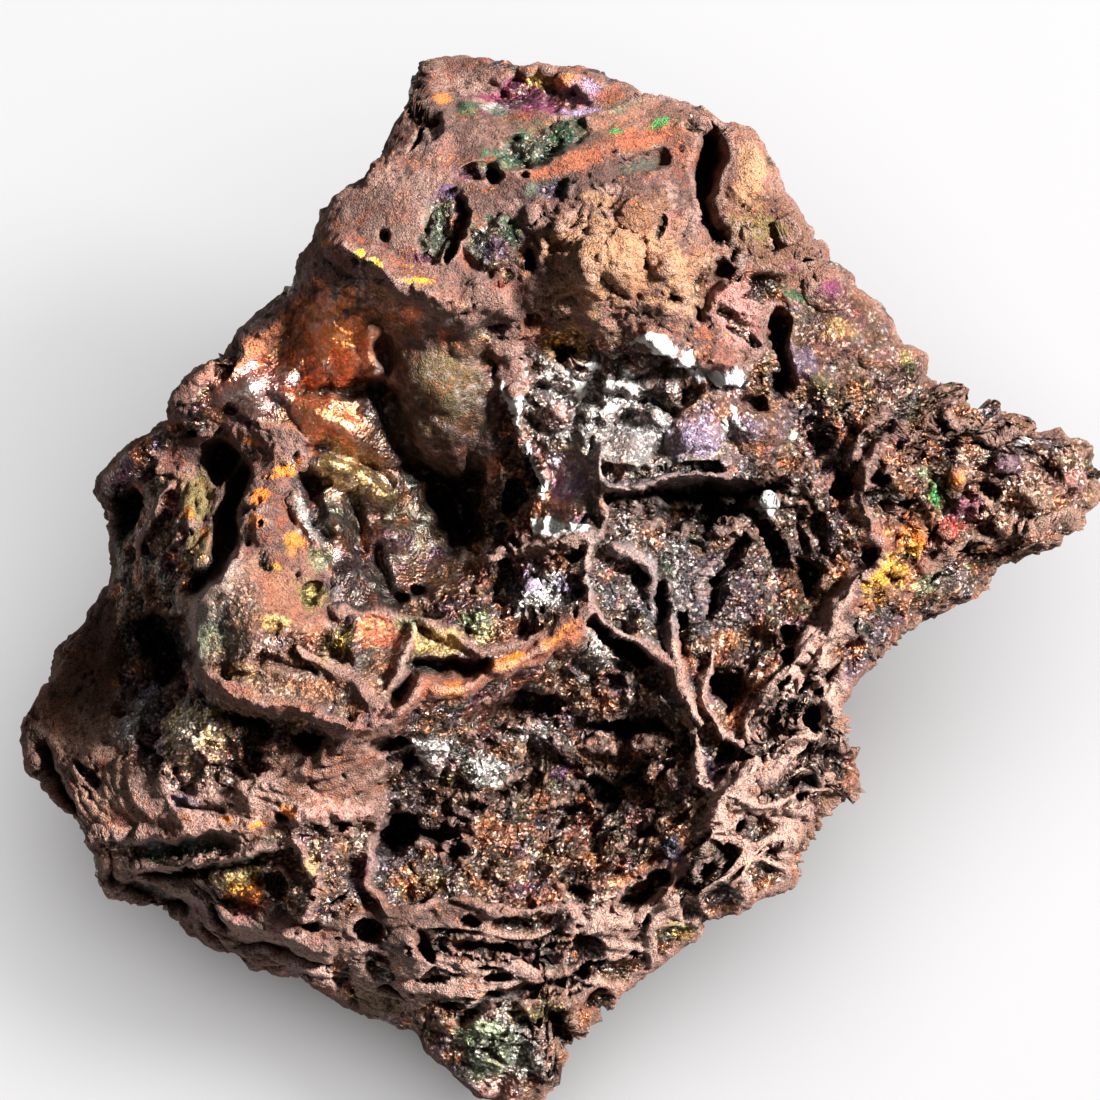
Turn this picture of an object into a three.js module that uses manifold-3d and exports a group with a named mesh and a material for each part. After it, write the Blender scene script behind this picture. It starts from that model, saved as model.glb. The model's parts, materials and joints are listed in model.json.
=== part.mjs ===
// A palm-sized piece of rough goethite: one stone with a matte outer skin, a network of
// ridges, and open hollows between them. Millimetres, +Z up, standing on a flat patch, with
// the origin at the middle of the bottom of its box.
//
// The stone is modelled in its show face's own frame: u runs right, v runs up the face and w
// runs out of it. The face leans back by FACE_TILT, and frameToStone turns it into place.
import * as THREE from 'three';
import { mergeVertices } from 'three/addons/utils/BufferGeometryUtils.js';
import { ImprovedNoise } from 'three/addons/math/ImprovedNoise.js';
import Module from 'manifold-3d';

const FACE_TILT = THREE.MathUtils.degToRad(20);
const FACE_HEIGHT = 30;
const FACE_CENTRE = [-2.4, -0.8];
const FACETS = 21;
const FACE_SHARE = 0.52;
const SIDE_SHARE = 0.42;
const EDGE_DROP = 5.5;
const RELIEF = 1.3;
const HOLLOW_RELIEF = 1.4;
const EDGE_ROUNDNESS = 6;
const EDGE_CROWDING = 1.3;
const SPOT_REACH = 2.7;
const FACET_REACH = 2.3;
const BASE_CENTRE = [-4, -2];
const BASE_RADII = [18, 16.5];
const BASE_WAVER = 0.14;
const BASE_SUNK = 1.6;
const STIR_REACH = 5;
const STIR_SIZE = 0.9;
const COARSE_REACH = 7;
const COARSE_SIZE = 1.1;
const FINE_REACH = 3.2;
const FINE_SIZE = 0.6;
const FLOOR_BLOCK = 200;

const stoneFinish = { color: 0x6b4f47, roughness: 0.78, metalness: 0.25 };

// The stone's outline, seen square to its show face, clockwise from the top left [u, v].
const outline = [
  [-10.4, 39.4], [-6, 39.7], [1, 38.5], [5, 37.6], [7.2, 36], [10, 36], [15, 33.9], [17.6, 30.6],
  [19.6, 27.2], [20.9, 24.6], [24, 21.8], [27.2, 18], [30, 15.6], [31.4, 12.2], [34, 13],
  [35.2, 10.2], [38.8, 10.4], [41.6, 9], [44, 8.7], [46.2, 6.4], [44, 3.4], [41, 1], [36.4, -0.8],
  [34.6, -3.6], [30, -4.8], [27.4, -7.2], [25, -9.6], [22.9, -13], [25.2, -18], [22.5, -20.4],
  [20, -24], [19.4, -26.8], [15, -28.9], [12.2, -29.6], [9, -33.4], [5, -36.8], [1, -40.2],
  [0, -44], [-3, -45.4], [-6, -44], [-10, -40.4], [-14, -38], [-20, -34.3], [-24.2, -33.8],
  [-30, -30.2], [-35.6, -27.9], [-36.6, -24.2], [-40, -20], [-42.4, -17.7], [-43, -14.6],
  [-40.4, -9.4], [-37.8, -5.8], [-35.6, -1.4], [-36, 3.2], [-37.2, 5], [-34.4, 8], [-30.4, 10.4],
  [-25.6, 16], [-20, 20.8], [-18, 24.8], [-14.6, 29], [-12.2, 33.2],
];

// Heights of the show face at hand-placed spots [u, v, w], by region.
const spots = {
  cap: [
    [-9, 38, -2], [-3, 37, 1], [3, 36, 2], [9, 34.5, 1], [14, 32.5, 1],
    [-12, 33, 5], [-7, 31.5, 7], [-1, 32, 6.5], [5, 32, 6], [11, 31, 5], [16, 30, 3],
    [-16, 27, 7], [-11, 26, 9], [-5, 26, 9], [1, 27, 9.5], [6, 26, 10], [12, 27, 6],
    [17.5, 25, 3], [-15, 22.5, 8.6], [-9, 20.5, 10], [-3, 20, 10], [4, 21, 11.5],
    [10, 21, 9], [15, 20, 6], [20, 20, 2.5],
  ],
  copperHollow: [
    [-20, 18, 2], [-24, 15, 1], [-19.5, 14, 4], [-13.8, 15, 4.5], [-9.3, 13.5, 5.5],
    [-5, 15, 5], [-27, 11.5, 2], [-21.4, 12, 4], [-17, 9, 2.5], [-12, 8.5, 0.5],
    [-7, 9, 2], [-17, 4, 1], [-12, 3.5, -1], [-7.6, 3, -4], [-3.5, 2, 0.5],
    [-15.6, -1.5, 1.5], [-10.5, -2, 0], [-5.5, -2.5, 2.6], [-1, -3, 4.2],
  ],
  middle: [
    [-2.5, 12, 5], [1, 15, 3], [5, 13.5, 4], [9, 15.5, 7], [13, 14, 6], [-2, 7.5, 1.5],
    [2, 8, 3.5], [8, 9, 3.5], [14, 9, 3], [1, 2, 4], [4, 4.5, 5.5], [9, 5, 4], [15, 5.5, 4],
    [3, -2, 5.6], [6.5, -2, 3], [12, 0, 1.5], [17, 0, 0.5], [6, -7.5, 3], [9.5, -7, 3.5],
    [14.2, -8, -1],
  ],
  shoulder: [
    [18, 14, 3], [22, 15, 3], [26.5, 14.5, 1.5], [20, 9.5, 1.5], [25.5, 9, 3], [30, 11.5, 0],
    [33, 11, -2], [20, 4, 2], [25, 4.5, 2.5],
  ],
  arm: [
    [31, 4, 0], [38, 5, -3], [44, 5.5, -6], [30, -1.5, -3], [35, -2, -7],
  ],
  leftShelf: [
    [-31.5, 7, 0], [-26.6, 7, -2], [-21.5, 7, 4.5], [-35, 3, -6], [-29.5, 2, 1],
    [-24, 2, 4.5], [-20, 0.5, 5],
  ],
  prow: [
    [-27, -4.5, 8], [-23, -4, 9], [-18, -3.5, 7], [-16.5, -7.5, 6.5], [-12, -6.5, 4.5],
    [-7.5, -7.5, 6], [-3.5, -8.5, 9], [2.5, -5.8, 7.5], [-29, -9.5, 4], [-25.5, -10, 8.5],
    [-19.5, -10.5, 9.5], [-14.5, -12, 10.5], [-12.3, -13, 11], [-8, -10.8, 10],
    [-17, -16, 7.5], [-21.5, -15.5, 3.5],
  ],
  darkHollow: [
    [-37, -5, -6], [-31, -5, -2], [-41, -12, -5], [-37, -11, -4], [-32.5, -10, -6],
    [-30.6, -15.8, 3.6], [-26.4, -15.8, 5.4],
  ],
  shell: [
    [-41.5, -16.5, -3], [-36, -16, 2], [-36.5, -21.5, 0.5], [-31, -20, 4], [-25, -20, 5.4],
    [-19, -20, 6.5], [-33, -25.5, -0.5], [-28, -24.3, 3.4], [-22.5, -24, 5], [-17, -24.5, 4],
    [-31, -29, -8], [-27, -28, -1], [-23.5, -27.5, 1], [-19, -28.5, 4], [-24, -32.5, -4],
  ],
  drusyHollow: [
    [-2, -12.5, 1], [4, -11.5, 0.5], [9, -11.5, 2], [-12, -17, 3], [-7, -16.5, 2.5],
    [0, -16, -1], [6, -16, -1], [-13, -21, 1], [-9, -21, 0.5], [-2, -21, -1], [4, -21, -1.5],
    [-12.5, -23.5, -2], [-7, -25, 2], [-1, -25, 1], [5, -25.5, 1.5],
  ],
  lace: [
    [21, -2.5, -2], [25.5, -1.5, 1], [18.5, -8.5, 1.5], [22.5, -7, 2], [12, -12, 4.5],
    [14.5, -13, 1], [17.5, -12, 4], [21.5, -14, 2], [11, -17, 2], [15, -18, 4.5],
    [20, -18.5, 2.5], [24, -19, -4], [10, -22, 2], [14.5, -22.5, 4], [18.5, -23.5, 0],
  ],
  foot: [
    [11, -26.5, 2], [-13, -28.5, 4], [-7, -29, 3], [-1, -29.5, 2.5], [5, -30, 1],
    [9.5, -31, -2], [-18, -33, 1], [-12, -33.5, 2], [-5, -33.5, 1], [1, -34, 0],
    [5, -35.5, -3], [-15, -37, -5], [-10, -38, -2], [-4, -38.5, 0], [0.5, -39, -2.5],
    [-4, -42, -2], [-3, -45, -4],
  ],
};

// Hollows and pits of the face [u, v, half-width, half-height, turn in degrees, depth].
const hollows = [
  [-0.2, 36.1, 5.8, 2.1, -8, 1.3], [-0.4, 31.6, 4.4, 1.3, 23, 1.5], [-5.6, 29.4, 2.2, 1.2, 0, 1],
  [0.3, 28, 2, 1.4, 0, 1], [-8, 25.3, 1.3, 3.2, -4, 1.4], [-2, 22.8, 1.3, 1.8, 0, 1],
  [12.7, 28.6, 1.3, 3.6, 0, 4.5], [8, 23.8, 1.3, 2, 0, 1], [4.6, 27.4, 1.6, 1.1, 0, 1],
  [13, 20, 1.2, 2.2, 25, 1.8], [18.2, 15.6, 1.2, 2.6, 0, 3], [-13, 15.2, 1.3, 2, 0, 1.8],
  [-10, 7.4, 6, 1.3, -54, 2], [-7.6, 3.4, 2.8, 4, 0, 4],
  [-19.2, 5.2, 1.8, 1.6, 0, 2], [-11, -3.3, 1.8, 1.2, 0, 2], [-26.6, 7, 2, 2.2, 0, 4],
  [-24.9, 2, 1.2, 4.6, -8, 3.4], [-34.2, 3.6, 2, 3.4, -20, 3], [-20, -3.4, 1.2, 1.2, 0, 1.6],
  [-30.8, -8.6, 3.4, 4.4, 15, 4.5], [-24, -13.6, 2.4, 1.2, -20, 2.5],
  [-19.2, -15.3, 1.5, 1.5, 0, 3], [-7.6, -9.6, 3.4, 1.1, 30, 2],
  [1.5, 15.4, 2.2, 1.6, 0, 2.4], [1.6, 5.8, 2.4, 2.6, 0, 0.6], [-2.8, 4.8, 1.4, 2, 0, 1.4],
  [12, 3.2, 7, 1.5, 5, 4.5], [8.8, -3.8, 1.2, 2, 0, 2.6], [6.2, -7.4, 2.4, 1.2, -32, 2.6],
  [14.4, -11, 2.2, 2, 0, 5], [18.9, -7.4, 1.3, 1.8, 0, 3], [21, -2.2, 1.4, 2.6, 0, 2.4],
  [23.3, 5.4, 1.7, 1.3, 0, 2.6], [8.6, 12, 3.4, 1.6, 0, 1.8], [-2.4, -12.4, 4.6, 1.8, 10, 3],
  [5.8, -14.2, 4.6, 1.4, -8, 3], [-12.2, -15.4, 2.6, 1.4, 0, 2.6], [-12.6, -23, 2.2, 3.4, 0, 4.5],
  [-8.8, -23.2, 2.2, 1.2, 0, 2.6], [4.4, -18.8, 2.6, 1.4, -20, 2.6], [0.6, -21.6, 3, 1.4, 12, 1.8],
  [-16.8, -22, 1.5, 1.2, 0, 2], [-29.2, -23.6, 4.2, 1.1, 10, 1.8], [-29.8, -26.2, 2.6, 1, 10, 1.6],
  [-24.4, -27, 2.9, 2.5, 0, 1.2], [-32.4, -28.4, 3.6, 1.4, -25, 3.4],
  [18, -13.6, 1.3, 2, 20, 2.8], [20.6, -13.4, 1.2, 1.8, 0, 2.2], [18.4, -19, 1.8, 1.1, 0, 2.6],
  [14.8, -22.6, 1.4, 1.3, 0, 2.2], [6.4, -28.4, 1.9, 1.1, 0, 2.4], [0.8, -31, 1.6, 1.1, 0, 2.2],
  [-5, -31.6, 3.2, 1.3, 0, 3], [-4, -35.2, 2, 1.1, 0, 2.4], [1, -36.2, 3.8, 1.1, 18, 2.4],
  [0, -39.4, 1.8, 1.3, 0, 2.4], [-9.8, -34.4, 1.6, 1.1, 0, 1.8], [30.6, 1.6, 1.6, 1.3, 0, 2],
  [35.4, 5, 1.5, 1.2, 0, 2], [40.6, 6.4, 1.4, 1.1, 0, 1.6],
];

// Rounded lumps on the face [u, v, half-width, half-height, turn in degrees, height].
const lumps = [
  [-6.8, 34.6, 1.6, 1.2, 0, 1], [16, 30, 2, 3.6, 0, 1.4], [5, 22.3, 2.3, 2.2, 0, 2],
  [7, 26.2, 2.2, 1.8, 0, 1.4], [1.4, 24.6, 1.9, 1.6, 0, 1.4], [9.8, 21.6, 2, 2.2, 0, 1.4],
  [-4.8, 23.8, 2, 2.3, 0, 1.6], [15.6, 24.6, 2, 1.6, 0, 1.2], [22.4, 20.6, 1.9, 1.7, 0, 1.6],
  [22.6, 17, 2, 1.8, 0, 1.6], [20.4, 14.6, 2, 1.8, 0, 1.4], [27.4, 15.2, 1.9, 1.4, 0, 1.4],
  [-17, 16.8, 3.8, 3.4, 0, 2.2], [-23.8, 12.6, 2.6, 2.2, 30, 2], [-21, 13.2, 1.8, 1.5, 0, 1.2],
  [-16.2, 9.6, 5.2, 2.1, -30, 2.2], [-9.2, 11.8, 4.2, 5.2, -8, 2.6], [-16.4, 6.8, 2, 1.7, 0, 1.6],
  [-13.4, 4.4, 2, 1.8, 0, 1.6], [-22.6, 2.4, 2.4, 2.3, 0, 1.8], [-29.2, 2.2, 1.9, 3.8, 0, 2],
  [-32.8, -13, 2, 2.2, -20, 1.8], [-28.4, -14.6, 2.2, 2.6, 30, 2.2], [-21.6, -15.7, 1.7, 1.8, 0, 1.6],
  [-9, -16.5, 2.4, 2, 0, 1.6], [-4.8, -17.6, 2, 1.7, 0, 1.4], [4.4, -7.8, 2.2, 1.9, 0, 1.6],
  [10.6, 9.6, 2.2, 1.9, 0, 1.6], [0.8, 11.6, 2, 1.7, 0, 1.4], [5.4, 13.6, 2.6, 1.6, 0, 1.4],
  [-4.6, -41, 2.2, 2, 0, 1.4], [33.4, -2.4, 2.2, 1.9, 0, 1.8], [32.4, 5.4, 2, 1.7, 0, 1.4],
  [37, 7.2, 1.9, 1.6, 0, 1.4], [42.2, 5.6, 1.9, 1.5, 0, 1.2], [28.6, 1, 1.8, 1.6, 0, 1.2],
];

// Ridges of the face, each a run of points with its half-width and height.
const ridges = [
  { run: [[-9.4, 39], [-9, 36], [-8, 33.4], [-12, 31], [-14.5, 28.8]], wide: 1.5, high: 1.4 },
  { run: [[-8, 33.2], [-2, 33], [3, 33.9], [7, 35.6]], wide: 1.3, high: 1.2 },
  { run: [[-3, 29.6], [4, 31.3], [10, 33]], wide: 1.4, high: 1.2 },
  { run: [[-16, 23.4], [-12, 20.8], [-6.8, 18.5], [-4, 19.2]], wide: 1.5, high: 2.2 },
  { run: [[-3.2, 18.4], [-2.8, 14], [-2.6, 10], [-1, 6]], wide: 1.5, high: 1.4 },
  { run: [[7.6, 16.4], [11, 14.8], [14.8, 14.8]], wide: 1.4, high: 1.4 },
  { run: [[-30, 11.2], [-26.6, 14], [-21.5, 18.4], [-18, 21.4]], wide: 1.4, high: 1.6 },
  { run: [[-13.8, 17.4], [-13.8, 12.6]], wide: 1.2, high: 1.2 },
  { run: [[3, -5.4], [3.2, 0.6]], wide: 1.2, high: 1.5 },
  { run: [[3.2, 0.6], [4, 3], [4.6, 8]], wide: 1.2, high: 1 },
  { run: [[-4.8, -0.4], [-1, 0.4], [2.4, 0.6]], wide: 1.2, high: 1.6 },
  { run: [[4.4, 5.6], [10, 6], [14, 5.8], [18, 6.6]], wide: 1.2, high: 2.4 },
  { run: [[5, 0.2], [8.2, -2], [9.6, -6], [10, -10], [12, -13.6]], wide: 1.2, high: 2 },
  { run: [[3.6, -5.2], [7, -7], [9.8, -9.8]], wide: 1.2, high: 1.8 },
  { run: [[24, 6.8], [25, 8.8], [27.4, 10.2]], wide: 1.3, high: 2 },
  { run: [[25.4, 6.4], [24.6, 4], [25.4, 1.6], [27, -1.2]], wide: 1.2, high: 1.8 },
  {
    run: [[27, -1.2], [24.6, -3], [22.4, -6.2], [19.4, -8.8], [17.2, -12.4], [15.8, -16], [13.6, -19.4]],
    wide: 1.3, high: 2.4,
  },
  { run: [[13.6, -19.4], [11.8, -22], [11, -26]], wide: 1.3, high: 1.4 },
  { run: [[18.8, -23.6], [15, -26], [10, -28]], wide: 1.5, high: 1.4 },
  { run: [[-12.6, -13], [-11.4, -8.4], [-10.8, -6.2]], wide: 1.2, high: 1.8 },
  {
    run: [[-12.4, -12.8], [-10, -10.8], [-7, -10.4], [-4, -9.4], [-1, -7.8], [2.8, -5.4]],
    wide: 1.4, high: 2.6,
  },
  { run: [[-16.4, -4.8], [-12, -5.4], [-5.6, -7.4], [0, -6.2]], wide: 1.2, high: 1.4 },
  {
    run: [[-24.6, -0.4], [-28, -4], [-28.4, -8.8], [-24, -11.4], [-20, -12.4], [-12.6, -13.4]],
    wide: 1.5, high: 2.2,
  },
  { run: [[-12.6, -13.4], [-17, -16], [-23.5, -19], [-29, -19]], wide: 1.6, high: 1.6 },
  { run: [[-38.4, -4.4], [-39.2, -9], [-41, -13], [-39, -18]], wide: 1.5, high: 1.6 },
  { run: [[-39, -18.4], [-35.4, -22.4], [-33, -25.2], [-27, -24.7], [-23, -23.7]], wide: 1.2, high: 2 },
  { run: [[-20, -21.2], [-13.6, -20.2]], wide: 1.2, high: 1.4 },
  { run: [[-33, -27.4], [-27, -27.8], [-20, -30.4], [-13, -31.6]], wide: 1.3, high: 1.4 },
  { run: [[0, -15.8], [9, -15.8]], wide: 1.2, high: 1.2 },
  { run: [[29, 8.6], [34, 9.6], [38, 9]], wide: 1.3, high: 1.4 },
  { run: [[30.5, -1], [36, 1.2], [42, 3.2]], wide: 1.3, high: 1.2 },
];

// How the side leaves the rim, by bearing in degrees: above 1 it drops first, below 1 it
// tucks under first.
const undercuts = [
  [-180, 1.3], [-130, 0.9], [-90, 0.8], [-60, 0.9], [-25, 1.2], [-4, 0.8], [8, 0.6], [20, 0.9],
  [45, 1.4], [90, 1.6], [150, 1.4], [180, 1.3],
];

// Pockets (sunk) and knobs (raised) of the sides [bearing, share of the way down, radius, depth].
const sidePockets = [
  [100, 0.3, 9, 6], [72, 0.46, 8, 5], [128, 0.42, 8.5, 5.4], [46, 0.28, 8, 4.6],
  [154, 0.3, 8, 5], [178, 0.46, 8, 5], [206, 0.32, 7, 4], [228, 0.56, 7, 3.6],
  [20, 0.5, 8, 4.4], [-14, 0.42, 8, 4.6], [-42, 0.42, 7.5, 4.4], [-70, 0.44, 7, 3.4],
  [-104, 0.46, 7, 3.4], [112, 0.7, 7, 4], [60, 0.74, 7, 3.6], [88, 0.56, 6, -3],
  [116, 0.16, 6, -2.4], [60, 0.14, 6, -2.4], [150, 0.62, 7, -3.2], [190, 0.2, 6, -2.6],
  [36, 0.62, 7, -3], [-28, 0.66, 7, -3.2], [-86, 0.62, 6, -2.4], [205, 0.64, 6, -2.6],
];

const grain = new ImprovedNoise();

function noiseAt(x, y, z, reach) {
  return grain.noise(x / reach + 31.7, y / reach + 17.3, z / reach + 5.9);
}

// The face's frame leans back by the tilt, so v is partly up and w is mostly up.
function frameToStone(u, v, w) {
  const y = v * Math.cos(FACE_TILT) - w * Math.sin(FACE_TILT);
  const z = v * Math.sin(FACE_TILT) + w * Math.cos(FACE_TILT);
  return new THREE.Vector3(u, y, FACE_HEIGHT + z);
}

function alongTable(table, x) {
  const next = table.findIndex(([stop]) => stop >= x);
  if (next <= 0) {
    return table[0][1];
  }
  const [x0, y0] = table[next - 1];
  const [x1, y1] = table[next];
  return THREE.MathUtils.mapLinear(x, x0, x1, y0, y1);
}

// The outline as a distance from the face's centre along each bearing.
function rimTable() {
  const rows = outline.map(([u, v]) => {
    const across = u - FACE_CENTRE[0];
    const up = v - FACE_CENTRE[1];
    return [Math.atan2(up, across), Math.hypot(across, up)];
  });
  rows.sort((a, b) => a[0] - b[0]);
  const first = rows[0];
  const last = rows[rows.length - 1];
  const turn = 2 * Math.PI;
  return [[last[0] - turn, last[1]], ...rows, [first[0] + turn, first[1]]];
}

const rim = rimTable();

// A cosine-edged dish: 1 at the middle, 0 from the edge outwards.
function dish(distance) {
  return distance < 1 ? 0.5 + 0.5 * Math.cos(Math.PI * distance) : 0;
}

// The height at (u, v) of an oval form. A form narrower than the facets can carry is widened to
// FACET_REACH and made lower by as much.
function ovalForm(u, v, [atU, atV, halfWide, halfHigh, turn, high]) {
  const angle = THREE.MathUtils.degToRad(turn);
  const du = u - atU;
  const dv = v - atV;
  const along = du * Math.cos(angle) + dv * Math.sin(angle);
  const across = dv * Math.cos(angle) - du * Math.sin(angle);
  const wide = Math.max(halfWide, FACET_REACH);
  const tall = Math.max(halfHigh, FACET_REACH);
  const lowered = Math.sqrt((halfWide * halfHigh) / (wide * tall));
  return high * lowered * dish(Math.hypot(along / wide, across / tall));
}

function runDistance(u, v, run) {
  let nearest = Infinity;
  for (let i = 1; i < run.length; i += 1) {
    const [u0, v0] = run[i - 1];
    const [u1, v1] = run[i];
    const length2 = (u1 - u0) ** 2 + (v1 - v0) ** 2;
    const share = ((u - u0) * (u1 - u0) + (v - v0) * (v1 - v0)) / length2;
    const held = THREE.MathUtils.clamp(share, 0, 1);
    const gap = Math.hypot(u - u0 - held * (u1 - u0), v - v0 - held * (v1 - v0));
    nearest = Math.min(nearest, gap);
  }
  return nearest;
}

const allSpots = Object.values(spots).flat();

function spotHeight(u, v) {
  let weights = 1e-9;
  let total = 0;
  for (const [atU, atV, height] of allSpots) {
    const gap2 = (u - atU) ** 2 + (v - atV) ** 2;
    const weight = Math.exp(-gap2 / (2 * SPOT_REACH ** 2));
    weights += weight;
    total += weight * height;
  }
  return total / weights;
}

function faceHeight(u, v) {
  const su = u + STIR_SIZE * noiseAt(u, v, 0, STIR_REACH);
  const sv = v + STIR_SIZE * noiseAt(u, v, 40, STIR_REACH);
  let height = RELIEF * spotHeight(su, sv);
  for (const hollow of hollows) {
    height -= HOLLOW_RELIEF * ovalForm(su, sv, hollow);
  }
  for (const lump of lumps) {
    height += ovalForm(su, sv, lump);
  }
  const crests = ridges.map(({ run, wide, high }) => (
    high * dish(runDistance(su, sv, run) / (wide + FACET_REACH))
  ));
  height += Math.max(...crests);
  height += COARSE_SIZE * noiseAt(u, v, 90, COARSE_REACH);
  height += FINE_SIZE * noiseAt(u, v, 130, FINE_REACH);
  return height;
}

// A point of the show face at a bearing, its reach being 0 at the centre and 1 at the rim.
function facePoint(bearing, reach) {
  const radius = alongTable(rim, bearing) * reach;
  const u = FACE_CENTRE[0] + radius * Math.cos(bearing);
  const v = FACE_CENTRE[1] + radius * Math.sin(bearing);
  const inside = Math.min(reach, 0.985);
  const innerU = FACE_CENTRE[0] + (radius / Math.max(reach, 1e-6)) * inside * Math.cos(bearing);
  const innerV = FACE_CENTRE[1] + (radius / Math.max(reach, 1e-6)) * inside * Math.sin(bearing);
  const roundOff = 1 - (1 - Math.min(reach, 1) ** EDGE_ROUNDNESS) ** (1 / EDGE_ROUNDNESS);
  return frameToStone(u, v, faceHeight(innerU, innerV) - EDGE_DROP * roundOff);
}

function basePoint(bearing, reach) {
  const waver = 1 + BASE_WAVER * Math.sin(3 * bearing + 1) + BASE_WAVER * Math.sin(5 * bearing) / 2;
  return new THREE.Vector3(
    BASE_CENTRE[0] + BASE_RADII[0] * waver * reach * Math.cos(bearing),
    BASE_CENTRE[1] + BASE_RADII[1] * waver * reach * Math.sin(bearing),
    -BASE_SUNK,
  );
}

// A point of the side: from the rim at share 0 down and in to the base's edge at share 1.
function sidePoint(bearing, share) {
  const top = facePoint(bearing, 1);
  const foot = basePoint(bearing, 1);
  const tuck = share ** alongTable(undercuts, THREE.MathUtils.radToDeg(bearing));
  return new THREE.Vector3(
    THREE.MathUtils.lerp(top.x, foot.x, tuck),
    THREE.MathUtils.lerp(top.y, foot.y, tuck),
    THREE.MathUtils.lerp(top.z, foot.z, share),
  );
}

function placedPockets() {
  return sidePockets.map(([degrees, share, radius, depth]) => {
    const turned = degrees > 180 ? degrees - 360 : degrees;
    const at = sidePoint(THREE.MathUtils.degToRad(turned), share);
    return { at, radius, depth };
  });
}

const pockets = placedPockets();

// Moves a side point along the level line from the stone's middle: in for pockets, out for
// knobs, and to and fro for the coarse and fine roughness. It fades in below the rim.
function roughened(point, share) {
  const outward = new THREE.Vector3(point.x - BASE_CENTRE[0], point.y - BASE_CENTRE[1], 0);
  outward.normalize();
  let move = 0;
  for (const { at, radius, depth } of pockets) {
    move -= depth * dish(point.distanceTo(at) / radius);
  }
  move += 2 * COARSE_SIZE * noiseAt(point.x, point.y, point.z, COARSE_REACH);
  move += 2 * FINE_SIZE * noiseAt(point.x, point.y, point.z + 60, FINE_REACH);
  const fade = THREE.MathUtils.smoothstep(share, 0, 0.12) * (1 - 0.6 * share);
  return point.clone().addScaledVector(outward, move * fade);
}

// Where a direction of the ball it is made from lands on the stone. The ball's area is shared
// between the face, the side and the base, so that the facets are much of a size.
function stonePoint(direction) {
  const bearing = Math.atan2(direction.y, direction.x);
  const fromTop = (1 - direction.z) / 2;
  if (fromTop <= FACE_SHARE) {
    const even = Math.sqrt(fromTop / FACE_SHARE);
    return facePoint(bearing, 1 - (1 - even) ** EDGE_CROWDING);
  }
  const down = (fromTop - FACE_SHARE) / SIDE_SHARE;
  if (down <= 1) {
    return roughened(sidePoint(bearing, down), down);
  }
  const left = (1 - fromTop) / (1 - FACE_SHARE - SIDE_SHARE);
  return basePoint(bearing, Math.sqrt(left));
}

function shapedStone() {
  const ball = new THREE.IcosahedronGeometry(1, FACETS);
  ball.deleteAttribute('normal');
  ball.deleteAttribute('uv');
  const stone = mergeVertices(ball, 1e-5);
  const places = stone.attributes.position;
  const direction = new THREE.Vector3();
  for (let i = 0; i < places.count; i += 1) {
    direction.fromBufferAttribute(places, i).normalize();
    const point = stonePoint(direction);
    places.setXYZ(i, point.x, point.y, point.z);
  }
  return stone;
}

function solidOf(wasm, geometry) {
  const merged = mergeVertices(geometry, 1e-5);
  return new wasm.Manifold(new wasm.Mesh({
    numProp: 3,
    vertProperties: new Float32Array(merged.attributes.position.array),
    triVerts: new Uint32Array(merged.index.array),
  }));
}

function geometryOf(solid) {
  const mesh = solid.getMesh();
  const geometry = new THREE.BufferGeometry();
  geometry.setAttribute('position', new THREE.BufferAttribute(mesh.vertProperties, 3));
  geometry.setIndex(new THREE.BufferAttribute(mesh.triVerts, 1));
  geometry.computeVertexNormals();
  return geometry;
}

// Everything below the floor is cut away, which leaves the flat patch that the stone rests on.
async function cutStone() {
  const wasm = await Module();
  wasm.setup();
  const block = new THREE.BoxGeometry(FLOOR_BLOCK, FLOOR_BLOCK, FLOOR_BLOCK);
  block.deleteAttribute('normal');
  block.deleteAttribute('uv');
  block.translate(0, 0, -FLOOR_BLOCK / 2);
  const cut = solidOf(wasm, shapedStone()).subtract(solidOf(wasm, block));
  const geometry = geometryOf(cut);
  geometry.computeBoundingBox();
  const middle = geometry.boundingBox.getCenter(new THREE.Vector3());
  geometry.translate(-middle.x, -middle.y, 0);
  return geometry;
}

const stone = new THREE.Mesh(await cutStone(), new THREE.MeshStandardMaterial(stoneFinish));
stone.name = 'goethite_stone';

const goethite = new THREE.Group();
goethite.add(stone);

export default goethite;
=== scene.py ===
"""Rough goethite, a palm-sized cavernous iron-oxide stone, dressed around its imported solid.

The stone is shaped in its show face's own frame, in millimetres: u runs right, v runs up the
face and w runs out of it. The face leans back by FACE_TILT, and frame_to_stone turns it into
place. Sizes and places below are millimetres in that frame unless a comment says otherwise.
"""
import json
import math

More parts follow.
